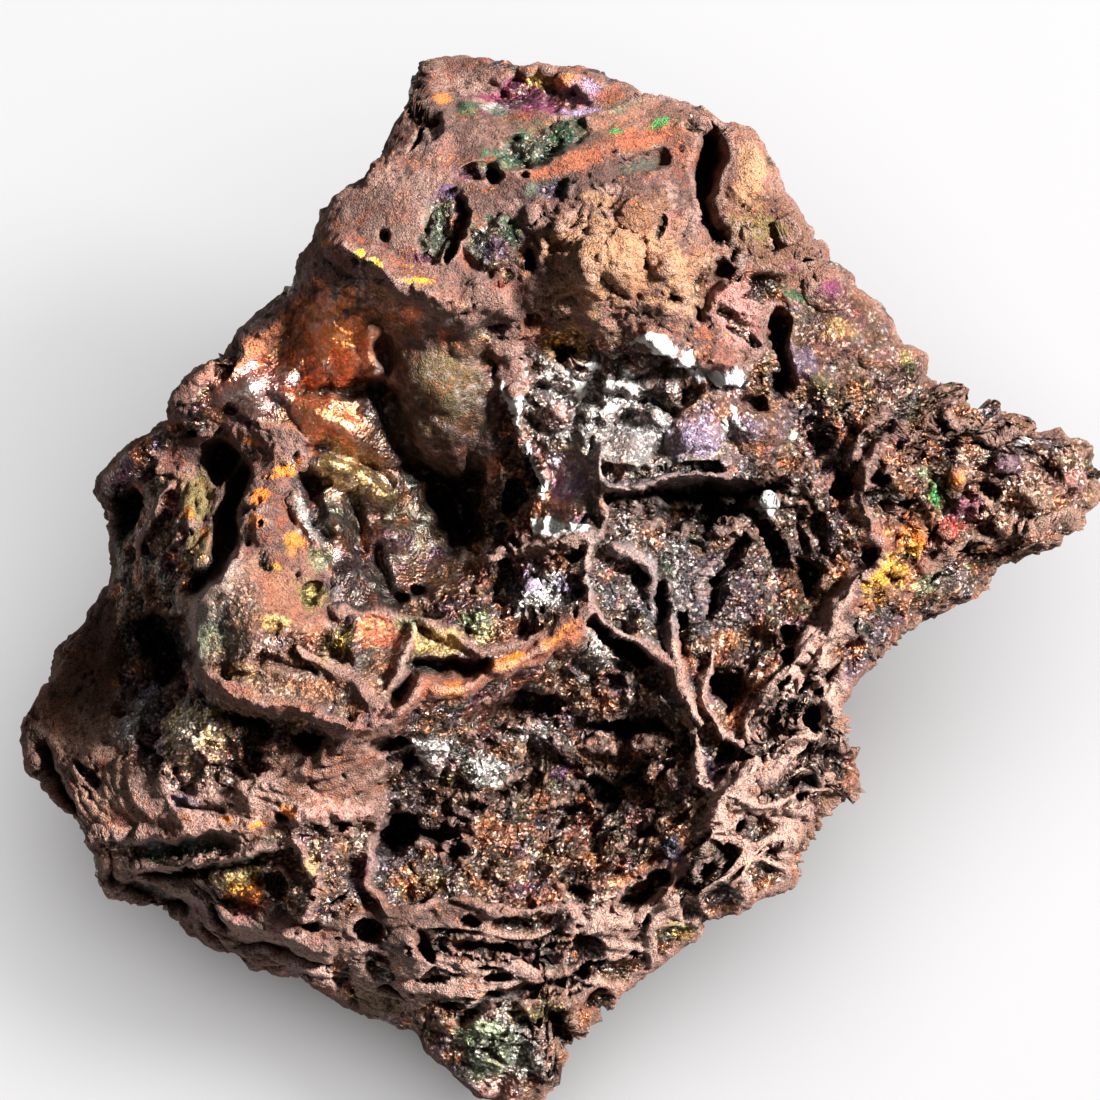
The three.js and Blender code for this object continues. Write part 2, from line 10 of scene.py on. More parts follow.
import bmesh
import bpy
import numpy as np
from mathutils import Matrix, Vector

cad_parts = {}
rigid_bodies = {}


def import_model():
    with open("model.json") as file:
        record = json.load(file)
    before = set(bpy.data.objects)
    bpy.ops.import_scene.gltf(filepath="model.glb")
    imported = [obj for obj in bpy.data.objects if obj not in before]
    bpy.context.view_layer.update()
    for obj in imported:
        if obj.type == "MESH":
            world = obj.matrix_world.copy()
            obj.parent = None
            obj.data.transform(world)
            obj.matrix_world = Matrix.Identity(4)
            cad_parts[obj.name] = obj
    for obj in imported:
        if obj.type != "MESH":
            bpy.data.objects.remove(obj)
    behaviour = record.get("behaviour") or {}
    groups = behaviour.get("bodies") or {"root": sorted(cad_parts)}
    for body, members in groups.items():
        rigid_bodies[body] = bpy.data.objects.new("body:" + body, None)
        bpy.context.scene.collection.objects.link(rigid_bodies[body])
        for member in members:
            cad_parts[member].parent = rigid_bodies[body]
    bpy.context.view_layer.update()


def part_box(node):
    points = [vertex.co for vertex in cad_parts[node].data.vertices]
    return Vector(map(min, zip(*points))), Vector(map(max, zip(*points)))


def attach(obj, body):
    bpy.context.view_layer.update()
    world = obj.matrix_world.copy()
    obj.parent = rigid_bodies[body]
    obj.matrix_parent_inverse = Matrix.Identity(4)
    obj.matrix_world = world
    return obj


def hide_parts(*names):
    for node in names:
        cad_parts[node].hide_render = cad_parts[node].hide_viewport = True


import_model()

MM = 0.001
NODE = "goethite_stone"

# ---------------------------------------------------------------- the view and the light

FACE_TILT = math.radians(20)
FACE_HEIGHT = 30
VIEW_DISTANCE = 367
VIEW_LENS = 100
VIEW_SENSOR = 24

# The lights and the floor: reaches, sizes and places in metres, strengths in watts.
KEY_BEARING = math.radians(5)
KEY_HEIGHT = math.radians(44)
KEY_REACH = 1.0
KEY_SIZE = 0.22
KEY_WATTS = 64
FLOOR_KEY_SIZE = 0.32
FLOOR_KEY_WATTS = 2.8
OVERHEAD_PLACE = (0.12, 0.08, 0.95)
OVERHEAD_SIZE = 1.6
OVERHEAD_WATTS = 13.8
ROOM_LIGHT = 0.14
FLOOR_REACH = 1.5
FLOOR_COLOUR = (0.8, 0.792, 0.797, 1)

# ---------------------------------------------------------------- the stone's main form

FACE_CENTRE = (-2.4, -0.8)
FACE_SHARE = 0.62
SIDE_SHARE = 0.34
EDGE_DROP = 5.5
RELIEF = 1.3
HOLLOW_RELIEF = 1.4
OVAL_SPREAD = 1.1
RUN_SPREAD = 1.6
EDGE_ROUNDNESS = 6
EDGE_CROWDING = 1.3
SPOT_REACH = 2.7
BASE_CENTRE = (-4, -2)
BASE_RADII = (18, 16.5)
BASE_WAVER = 0.14
BASE_SUNK = 1.6
FINE_SPLIT = 206
SECTORS = ["goethite_arm", "goethite_cap", "goethite_left", "goethite_foot", "goethite_lace"]

# Bands where the face's nature fades: shares of the way to the rim, and depths below the face.
FACE_END = (0.97, 1.0)
EDGE_BAND = (0.86, 1.0)
RIM_BAND = (0.88, 0.98)
BELOW_FACE = (9.5, 12.0)
BELOW_RIM = (-18.0, -9.0)

# Sizes of the small holes, the lace's meshes, the skin's ledges, the crust and the crystals.
WIDE_HOLE = 2.6
MIDDLE_HOLE = 1.3
FINE_HOLE = 0.65
WIDE_MESH = 2.2
FINE_MESH = 1.0
LEDGE_PITCH = 1.6
FINE_ROUNDS = 6
BROAD_ROUNDS = 40
CRUST_THICKNESS = 0.22
CRYSTAL_SIZE = 0.22
BUMP_DEPTH = 0.34

OUTLINE = [
    (-10.4, 39.4), (-8, 39.7), (-6, 39.6), (-3, 38.9), (1, 38.5), (3.5, 38.2), (5, 37.6),
    (6.7, 36.6), (7.2, 36), (10, 36), (12.6, 35.2), (14.2, 33.8), (15, 33.9), (16.2, 33.2),
    (17.6, 30.6), (18.4, 28.6), (19.6, 27.2), (20.9, 24.6), (21.8, 24.2), (22, 23), (24, 21.8),
    (24.2, 20.8), (25.6, 19.8), (27.2, 18), (27.8, 16.4), (30, 15.6), (30, 14), (31.2, 12.6),
    (31.6, 11.8), (32, 12.6), (33.2, 12.2), (34, 13), (35, 11.6), (35.2, 10.2), (36.8, 10.2),
    (37.4, 10.9), (38.8, 10.2), (39, 9.4), (41.6, 9), (44, 8.7), (46.2, 6.4), (44, 3.4),
    (42.6, 1.8), (41, 1), (39.4, 0.2), (36.4, -0.8), (36.2, -1.6), (34.6, -3.6), (32, -4.2),
    (30, -4.8), (28.4, -6), (27.4, -7.2), (25.8, -8.4), (25, -9.6), (24, -11), (22.9, -13),
    (23.4, -15), (24.6, -16.6), (25.2, -18.6), (24.4, -20), (23.4, -19.4), (22.5, -20.4),
    (20.9, -22.2), (20, -24), (19.9, -25), (19.4, -26.8), (17.2, -27.6), (15, -28.9), (12.4, -29.4),
    (11.8, -31.2), (10.2, -32.2), (9, -33.4), (7, -34.8), (5, -36.8), (4.2, -37), (2.2, -39),
    (1, -40.2), (0, -42), (0, -44), (-3, -45.4), (-6, -44), (-8, -42), (-10, -40.4), (-10.2, -39.4),
    (-12.4, -38.6), (-14, -38), (-16.4, -37), (-18.4, -35.4), (-20, -34.2), (-24.2, -33.9),
    (-26, -32.6), (-28, -31.9), (-29.4, -31.2), (-30, -30.2), (-32, -29), (-35.6, -27.9),
    (-36.2, -26.6), (-36.4, -24.6), (-37.4, -22), (-38.4, -21.2), (-40, -20), (-41, -18.6),
    (-42.4, -17.7), (-43, -14.6), (-42, -13), (-40.6, -10.6), (-40.2, -8.4), (-37.8, -5.8),
    (-36, -3), (-35.6, -1.4), (-35.8, 0), (-36, 3.2), (-37.2, 4.8), (-36.8, 5.8), (-34.4, 8),
    (-32, 9.2), (-30.4, 10.4), (-30, 12), (-28.8, 13.2), (-25.6, 16), (-24.4, 17.6), (-22.4, 19.2),
    (-20, 20.8), (-19.6, 22.8), (-18, 24.8), (-16.8, 27.6), (-14.4, 29), (-12.9, 31), (-12.2, 33.2),
    (-11.2, 35), (-11, 37.6),
]

# Heights of the show face at given spots (u, v, w), by region.
SPOTS = {
    "cap": [
        (-9, 38, -2), (-3, 37, 1), (3, 36, 2), (9, 34.5, 1), (14, 32.5, 1),
        (-12, 33, 5), (-7, 31.5, 7), (-1, 32, 6.5), (5, 32, 6), (11, 31, 5), (16, 30, 3),
        (-16, 27, 7), (-11, 26, 9), (-5, 26, 9), (1, 27, 9.5), (6, 26, 10), (12, 27, 6),
        (17.5, 25, 3), (-15, 22.5, 8.6), (-9, 20.5, 10), (-3, 20, 10), (4, 21, 11.5),
        (10, 21, 9), (15, 20, 6), (20, 20, 2.5),
    ],
    "copper hollow": [
        (-20, 18, 3), (-24, 15, 3.2), (-19.5, 14, 3.5), (-13.8, 15, 4.5), (-9.3, 13.5, 5.5),
        (-5, 15, 5), (-27, 11.5, 4.6), (-21.4, 12, 3.1), (-17, 9, 2.5), (-12, 8.5, 0.5),
        (-7, 9, 2), (-17, 4, 1), (-12, 3.5, -1), (-7.6, 3, -4), (-3.5, 2, 0.5),
        (-15.6, -1.5, 1.5), (-10.5, -2, 0), (-5.5, -2.5, 2.6), (-1, -3, 4.2),
    ],
    "middle": [
        (-2.5, 12, 5), (1, 15, 3), (5, 13.5, 4), (9, 15.5, 7), (13, 14, 6), (-2, 7.5, 1.5),
        (2, 8, 3.5), (8, 9, 3.5), (14, 9, 3), (1, 2, 4), (4, 4.5, 5.5), (9, 5, 4), (15, 5.5, 4),
        (3, -2, 5.6), (6.5, -2, 3), (12, 0, 1.5), (17, 0, 0.5), (6, -7.5, 3), (9.5, -7, 3.5),
        (14.2, -8, -1),
    ],
    "shoulder": [
        (18, 14, 3), (22, 15, 3), (26.5, 14.5, 1.5), (20, 9.5, 1.5), (25.5, 9, 3), (30, 11.5, 0),
        (33, 11, -2), (20, 4, 2), (25, 4.5, 2.5),
    ],
    "arm": [
        (31, 4, 0), (38, 5, -3), (44, 5.5, -6), (30, -1.5, -3), (35, -2, -7),
    ],
    "left shelf": [
        (-31.5, 7, 0), (-26.6, 7, -2), (-21.5, 7, 4.5), (-35, 3, -6), (-29.5, 2, 1),
        (-24, 2, 4.5), (-20, 0.5, 5),
    ],
    "prow": [
        (-27, -4.5, 8), (-23, -4, 9), (-18, -3.5, 7), (-16.5, -7.5, 6.5), (-12, -6.5, 4.5),
        (-7.5, -7.5, 6), (-3.5, -8.5, 9), (2.5, -5.8, 7.5), (-29, -9.5, 4), (-25.5, -10, 8.5),
        (-19.5, -10.5, 9.5), (-14.5, -12, 10.5), (-12.3, -13, 11), (-8, -10.8, 10),
        (-17, -16, 7.5), (-21.5, -15.5, 3.5),
    ],
    "dark hollow": [
        (-37, -5, -6), (-31, -5, -2), (-41, -12, -5), (-37, -11, -4), (-32.5, -10, -6),
        (-30.6, -15.8, 3.6), (-26.4, -15.8, 5.4),
    ],
    "shell": [
        (-41.5, -16.5, -2), (-36, -16, 2.6), (-36.5, -21.5, 1.6), (-31, -20, 4.6), (-25, -20, 5.4),
        (-19, -20, 6.5), (-33, -25.5, 0.8), (-28, -24.3, 3.4), (-22.5, -24, 5), (-17, -24.5, 4),
        (-31, -29, -8), (-27, -28, 0), (-23.5, -27.5, 3), (-19, -28.5, 4), (-24, -32.5, -4),
    ],
    "drusy hollow": [
        (-2, -12.5, 1), (4, -11.5, 0.5), (9, -11.5, 2), (-12, -17, 3), (-7, -16.5, 2.5),
        (0, -16, -1), (6, -16, -1), (-13, -21, 1), (-9, -21, 0.5), (-2, -21, -1), (4, -21, -1.5),
        (-12.5, -23.5, -2), (-7, -25, 2), (-1, -25, 1), (5, -25.5, 1.5),
    ],
    "lace": [
        (21, -2.5, -2), (25.5, -1.5, 1), (18.5, -8.5, 1.5), (22.5, -7, 2), (12, -12, 4.5),
        (14.5, -13, 1), (17.5, -12, 4), (21.5, -14, 2), (11, -17, 2), (15, -18, 4.5),
        (20, -18.5, 2.5), (24, -19, -4), (10, -22, 2), (14.5, -22.5, 4), (18.5, -23.5, 0),
    ],
    "foot": [
        (11, -26.5, 2), (-13, -28.5, 4), (-7, -29, 3), (-1, -29.5, 2.5), (5, -30, 1),
        (9.5, -31, -2), (-18, -33, 1), (-12, -33.5, 2), (-5, -33.5, 1), (1, -34, 0),
        (5, -35.5, -3), (-15, -37, -5), (-10, -38, -2), (-4, -38.5, 0), (0.5, -39, -2.5),
        (-4, -42, -2), (-3, -45, -4),
    ],
}

# Hollows, pits and holes of the face (u, v, half-width, half-height, turn in degrees, depth).
HOLLOWS = [
    # the cap
    (-1.6, 36.1, 4.9, 2.1, -6, 1.5), (-0.4, 32, 4.6, 1.7, 20, 1.6), (-5.6, 29.4, 1.9, 0.9, 0, 1),
    (-4.3, 29.2, 0.8, 0.6, 0, 2), (-2.2, 29.4, 0.5, 0.5, 0, 1.2), (0.3, 28, 1.8, 1.2, 0, 0.8),
    (-8.2, 25.2, 1.7, 3.6, -19, 1.2), (-7.2, 23.8, 0.5, 1.9, -10, 2),
    (-12.8, 24.5, 0.6, 0.9, 30, 0.9), (-4.2, 23.2, 2.6, 2.9, 0, 1),
    (11.9, 20.6, 1.1, 2.9, -15, 1.6), (-10.8, 32.2, 0.3, 1.6, -20, 2),
    (-1.5, 22.4, 0.5, 1.3, 10, 2), (-0.8, 25.6, 1.3, 0.3, 30, 1), (2.6, 24.6, 0.3, 1.2, -20, 0.9),
    (7.6, 22.8, 0.35, 1.6, 10, 1.1), (8.5, 25.2, 0.3, 1.1, -16, 1), (4.8, 27.4, 1.4, 0.35, 0, 1),
    (10.6, 25.4, 0.4, 0.9, 0, 1), (0.8, 18.7, 0.9, 0.5, 0, 1.2), (7, 18.3, 0.8, 0.4, 0, 1.2),
    (4.2, 20.4, 2.4, 0.5, -30, 0.9), (15.2, 25.2, 0.8, 0.5, 0, 1.2), (19.6, 23, 0.9, 0.6, 0, 1.6),
    (17.4, 23.6, 0.6, 0.5, 0, 1.4), (14.4, 23.2, 0.6, 0.7, 0, 1.4),
    # the copper hollow
    (-13, 15.4, 0.9, 1.8, 0, 1.6), (-7.6, 3.2, 2.7, 3.6, 0, 3), (-6.4, 6.4, 1.1, 1.8, 0, 1.2),
    (-19.2, 5.2, 1.6, 1.3, 0, 1.8), (-10.4, -3, 0.8, 0.6, 0, 1.6), (-11.7, -3.7, 0.6, 0.5, 0, 1.4),
    (-3.6, 2, 0.6, 0.7, 0, 1.6), (-3, 0.8, 0.5, 0.5, 0, 1.4), (-10.4, 6.6, 1.8, 1.5, -30, 1.6),
    # the left shelf and the prow
    (-26.6, 7, 1.7, 1.8, 0, 4.5), (-34.2, 3.6, 1.8, 3, -20, 3), (-18.7, -3.4, 1.2, 1.4, 0, 0.9),
    (-21.6, -6.2, 1.3, 0.8, 20, 0.8), (-25, 11, 0.9, 0.5, 20, 1), (-28.6, 9.4, 0.8, 0.5, 20, 1.2),
    # the dark hollow
    (-30.6, -8.2, 3, 4, 15, 5), (-24, -13.6, 2.2, 0.9, -20, 2.8), (-19.2, -15.2, 1.2, 1.1, 0, 3),
    (-22.4, -14.8, 0.9, 0.7, 0, 1.6),
    # the middle
    (1, 15.3, 1.4, 1, 0, 2), (1.6, 5.8, 2.4, 2.7, 0, 0.5), (-2.8, 4.8, 1, 1.8, 0, 1.2),
    (12, 3.3, 6.6, 1.3, 5, 4.5), (8.8, -3.8, 0.8, 1.6, 0, 3), (6, -7.5, 2.2, 0.8, -32, 3),
    (14.2, -11.2, 1.8, 1.6, 0, 5), (19, -6.7, 0.8, 0.9, 0, 3), (18.8, -8.5, 0.7, 0.8, 0, 3),
    (10.6, -7.2, 0.6, 0.8, 0, 2), (21, -2.2, 1.2, 2.4, 0, 2.6), (23.2, 5.4, 1.4, 1, 0, 2.8),
    (26, 5.8, 0.9, 0.8, 0, 2.4), (8.6, 12, 3, 1.3, 0, 1.6), (11.2, 12.4, 1, 0.8, 0, 1.6),
    (16.2, 11.8, 1.2, 1, 0, 1.6), (21.4, 8.2, 1.1, 0.9, 0, 1.4),
    # the drusy hollow
    (-2.4, -12.4, 4.4, 1.5, 10, 3), (6, -14.3, 4, 1, -8, 3.2), (-12.6, -15.4, 2.2, 0.8, 0, 2.8),
    (-11.4, -17, 0.9, 0.8, 0, 2), (-12.4, -22.6, 2.4, 2.4, -30, 4.4), (-9, -22.8, 1.9, 0.8, 0, 3),
    (-7.6, -24.2, 1, 0.7, 0, 2.4), (4.6, -19, 2.2, 1, -20, 2.6), (0.6, -21.6, 2.6, 1.1, 12, 1.8),
    (-16.6, -21.4, 0.9, 0.6, 0, 2), (-21.4, -21.4, 0.8, 0.5, 0, 1.8),
    (-3.4, -19.4, 1.4, 0.8, 20, 2), (-6.2, -20.6, 1.2, 0.8, -20, 1.8), (7.6, -22.6, 1, 0.8, 0, 1.8),
    (2.2, -27.4, 1.4, 0.6, 0, 1.8),
    # the shell's lower edge
    (-24.4, -27, 2.9, 2.5, 0, 0.9), (-32, -28.2, 3.4, 1.1, -25, 3.2), (-21.6, -26.8, 0.8, 1, 0, 2),
    (-19.2, -29.6, 0.9, 0.6, 0, 2), (-22.6, -33.4, 1, 0.4, 10, 1.6),
    (-19.6, -33.7, 0.7, 0.4, 0, 1.4), (-16.8, -27.4, 1.2, 0.6, 30, 1.8),
    (-15, -30.2, 0.9, 0.5, 0, 1.6),
    # the lace
    (17.8, -14.2, 0.8, 1.3, -25, 3), (19.4, -12.6, 0.6, 1, -25, 2.2),
    (21.4, -13.4, 0.7, 1.5, -10, 2.8), (18.4, -10.8, 0.5, 0.9, -40, 2),
    (16.2, -13.6, 0.5, 1, -30, 2.4), (18.4, -18.8, 1.7, 0.6, 20, 2.8),
    (20.4, -19.6, 0.9, 0.5, 30, 2.2), (15.2, -22, 1, 0.5, 40, 2), (22.8, -9.8, 0.6, 1.1, -30, 2),
    (12.8, -25, 0.9, 0.6, 40, 1.8), (13.8, -16.2, 0.6, 1.2, -20, 2.2),
    (17.4, -24.4, 1, 0.5, 35, 1.6),
    # the foot
    (6.8, -27.8, 2.4, 0.9, 14, 2.8), (8.8, -26.4, 1, 0.7, 30, 2.2), (7.8, -29.4, 0.6, 0.4, 0, 1.8),
    (-5, -31.9, 3.2, 0.6, -4, 2.8), (-6.2, -29.7, 0.8, 0.7, 0, 2.2), (-14, -30.8, 1.4, 1, 0, 2.6),
    (0.6, -31.4, 1.3, 0.4, 14, 2), (6.6, -32.2, 0.9, 0.4, 20, 2), (-4.2, -34.4, 1.6, 0.35, 4, 1.8),
    (-9.6, -34.2, 1.4, 0.4, 8, 2), (0.4, -38.6, 1.5, 0.8, 40, 2.6), (-10.2, -31.4, 0.5, 1.2, 10, 2),
    (-8, -36.4, 1, 0.4, 10, 1.8), (-13, -35.8, 1.2, 0.4, -20, 1.6),
    (3.2, -33.6, 1.4, 0.35, 20, 1.6),
    # the arm
    (30.6, 1.6, 1.3, 1, 0, 2.2), (35.4, 5, 1.1, 0.9, 0, 2.2), (40.6, 6.6, 1, 0.7, 0, 2),
    (34.6, 8.4, 1, 0.6, 0, 1.8), (28.4, 3.8, 0.9, 1, 0, 2), (33.6, 0.2, 1, 0.7, 20, 1.8),
    (38.8, 3, 0.9, 0.6, 0, 1.6), (29.6, 7.4, 1, 0.7, 0, 1.8), (31.6, 9.6, 0.8, 0.6, 0, 1.6),
    (27.8, -2.6, 0.8, 0.7, 0, 1.8), (41.4, 8, 0.8, 0.4, 0, 1.4),
]

# Rounded lumps on the face (u, v, half-width, half-height, turn in degrees, height).
LUMPS = [
    (-6.8, 34.8, 1, 0.9, 0, 0.8), (-0.8, 31.9, 3.9, 1.15, 20, 1.9),
    (-8.8, 25.1, 0.95, 3.1, -19, 1.8), (-5.9, 29.6, 1.2, 0.8, -10, 0.9),
    (-4.2, 23.2, 2.1, 2.4, 0, 1.8), (16, 30, 1.9, 3.6, 0, 1.2), (3.8, 22, 3.6, 2.6, -16, 2.2),
    (5.6, 23, 1.7, 1.4, 0, 1), (7, 26.6, 2.2, 1.7, 0, 1.5), (0.6, 24.7, 1.8, 1.4, 10, 1.4),
    (9.6, 22.2, 1.7, 2.4, 0, 1.7), (-1.5, 25.5, 1.1, 1, 0, 1), (15.6, 24.4, 1.4, 1.2, 0, 1),
    (18.6, 25.4, 1.2, 1, 0, 1), (2.4, 20.8, 1.4, 1.2, 0, 1.2), (22.2, 20.8, 2.3, 1.9, 0, 1.3),
    (22.6, 17.2, 2.6, 2, 20, 1.2), (20, 15.2, 2.2, 1.8, 0, 1.1), (21.5, 13.4, 2.2, 1.5, -20, 0.9),
    (26.5, 15.3, 2.3, 1.5, 0, 0.9), (28.2, 15, 1.5, 1.3, 0, 0.7), (24.2, 15.4, 1.9, 1.5, 0, 0.8),
    (-17, 16.8, 3.9, 3.5, 0, 2.8), (-23.8, 12.6, 2.6, 2.2, 30, 2),
    (-20.8, 13.6, 1.5, 2.2, -20, 1.2), (-16.2, 9.6, 5.2, 2.1, -30, 2.4),
    (-9.2, 11.8, 4.2, 5.2, -8, 2.6), (-18, 14.4, 1.2, 0.9, 20, 0.7), (-15.2, 18.2, 1.2, 1, 0, 0.7),
    (-19.2, 17.6, 1.1, 1.3, 0, 0.7), (-13.8, 11, 1.6, 1.2, -30, 0.8),
    (-6.2, 16.4, 1.8, 1.6, 0, 1.2), (-16.4, 6.4, 2.4, 1.8, -20, 1.8), (-13.4, 4.6, 2, 2, 0, 1.8),
    (-12.2, 1.4, 2, 1.7, 0, 1.8), (-15.8, -2, 1.7, 2, 0, 1.8), (-17.6, 2, 1.2, 2.2, 20, 1.2),
    (-16.8, 2, 1.1, 1, 0, 0.9), (-18.4, -0.8, 1, 0.9, 0, 0.8), (-5.6, -5.4, 1.3, 0.9, 0, 0.9),
    (-1.6, -2.4, 1.2, 1, 0, 0.9), (1.4, -3, 1.1, 0.9, 0, 0.8), (-22.6, 2.4, 2.2, 2.1, 0, 1.8),
    (-29.2, 2.2, 1.6, 3.4, 0, 2), (-33, -13.2, 2.2, 2.6, -20, 2), (-28.2, -15, 2.7, 3.2, 20, 2.8),
    (-30.6, -15.6, 1.2, 1.1, 0, 1.2), (-21.6, -15.6, 1.4, 1.6, 0, 1.6),
    (-26.4, -16.8, 1.6, 0.9, 0, 0.8), (-9, -16.5, 1.9, 1.7, 0, 1.6), (-5, -17.5, 1.6, 1.3, 0, 1.3),
    (4.4, -7.8, 1.9, 1.6, 0, 1.5), (11.4, 8.9, 2.4, 2, 0, 2.2), (16.4, 9.6, 2.4, 2.4, 0, 2),
    (6.2, 8, 1.9, 1.4, 0, 1.3), (12.8, 15.2, 1.7, 1.4, 0, 1.5), (9.6, 12.2, 1.2, 1, 0, 1),
    (0.4, 11, 1.4, 1.1, 0, 1.2), (5.2, 13.4, 1.8, 1.1, 0, 1.2), (7.4, 10.4, 1.4, 1.1, 0, 1),
    (13.4, 10.8, 1.3, 1.2, 0, 1), (3.4, 9.4, 1.2, 1, 0, 1), (-4.6, -41, 1.8, 1.7, 0, 1.3),
    (-5.4, -38.4, 1.2, 1, 0, 0.9), (33.4, -2.4, 2, 1.6, 0, 1.8), (32.4, 5.4, 1.4, 1.2, 0, 1.3),
    (37, 7.2, 1.4, 1.2, 0, 1.2), (42.4, 5.6, 1.4, 1.1, 0, 1.1), (28.6, 1, 1.2, 1.1, 0, 1),
    (33.2, 3.4, 1.1, 1, 0, 1), (36.6, 2.4, 1.2, 0.9, 0, 1), (39.4, 4.8, 1.1, 0.9, 0, 1),
    (31, 7.8, 1, 0.8, 0, 1), (-0.6, -17.8, 1.2, 0.9, 0, 0.9), (2, -23.8, 1.5, 1, 0, 1),
    (-3.6, -25.4, 1.5, 1.1, 0, 1.1), (-1, -14.8, 1.1, 0.8, 0, 0.8), (8.6, -17.6, 1.1, 1, 0, 1),
    (-8.6, -26.4, 1.3, 1, 0, 1), (4.8, -24, 1.2, 0.9, 0, 0.9), (-24.8, -26.9, 1.9, 1.7, 0, 1.2),
]

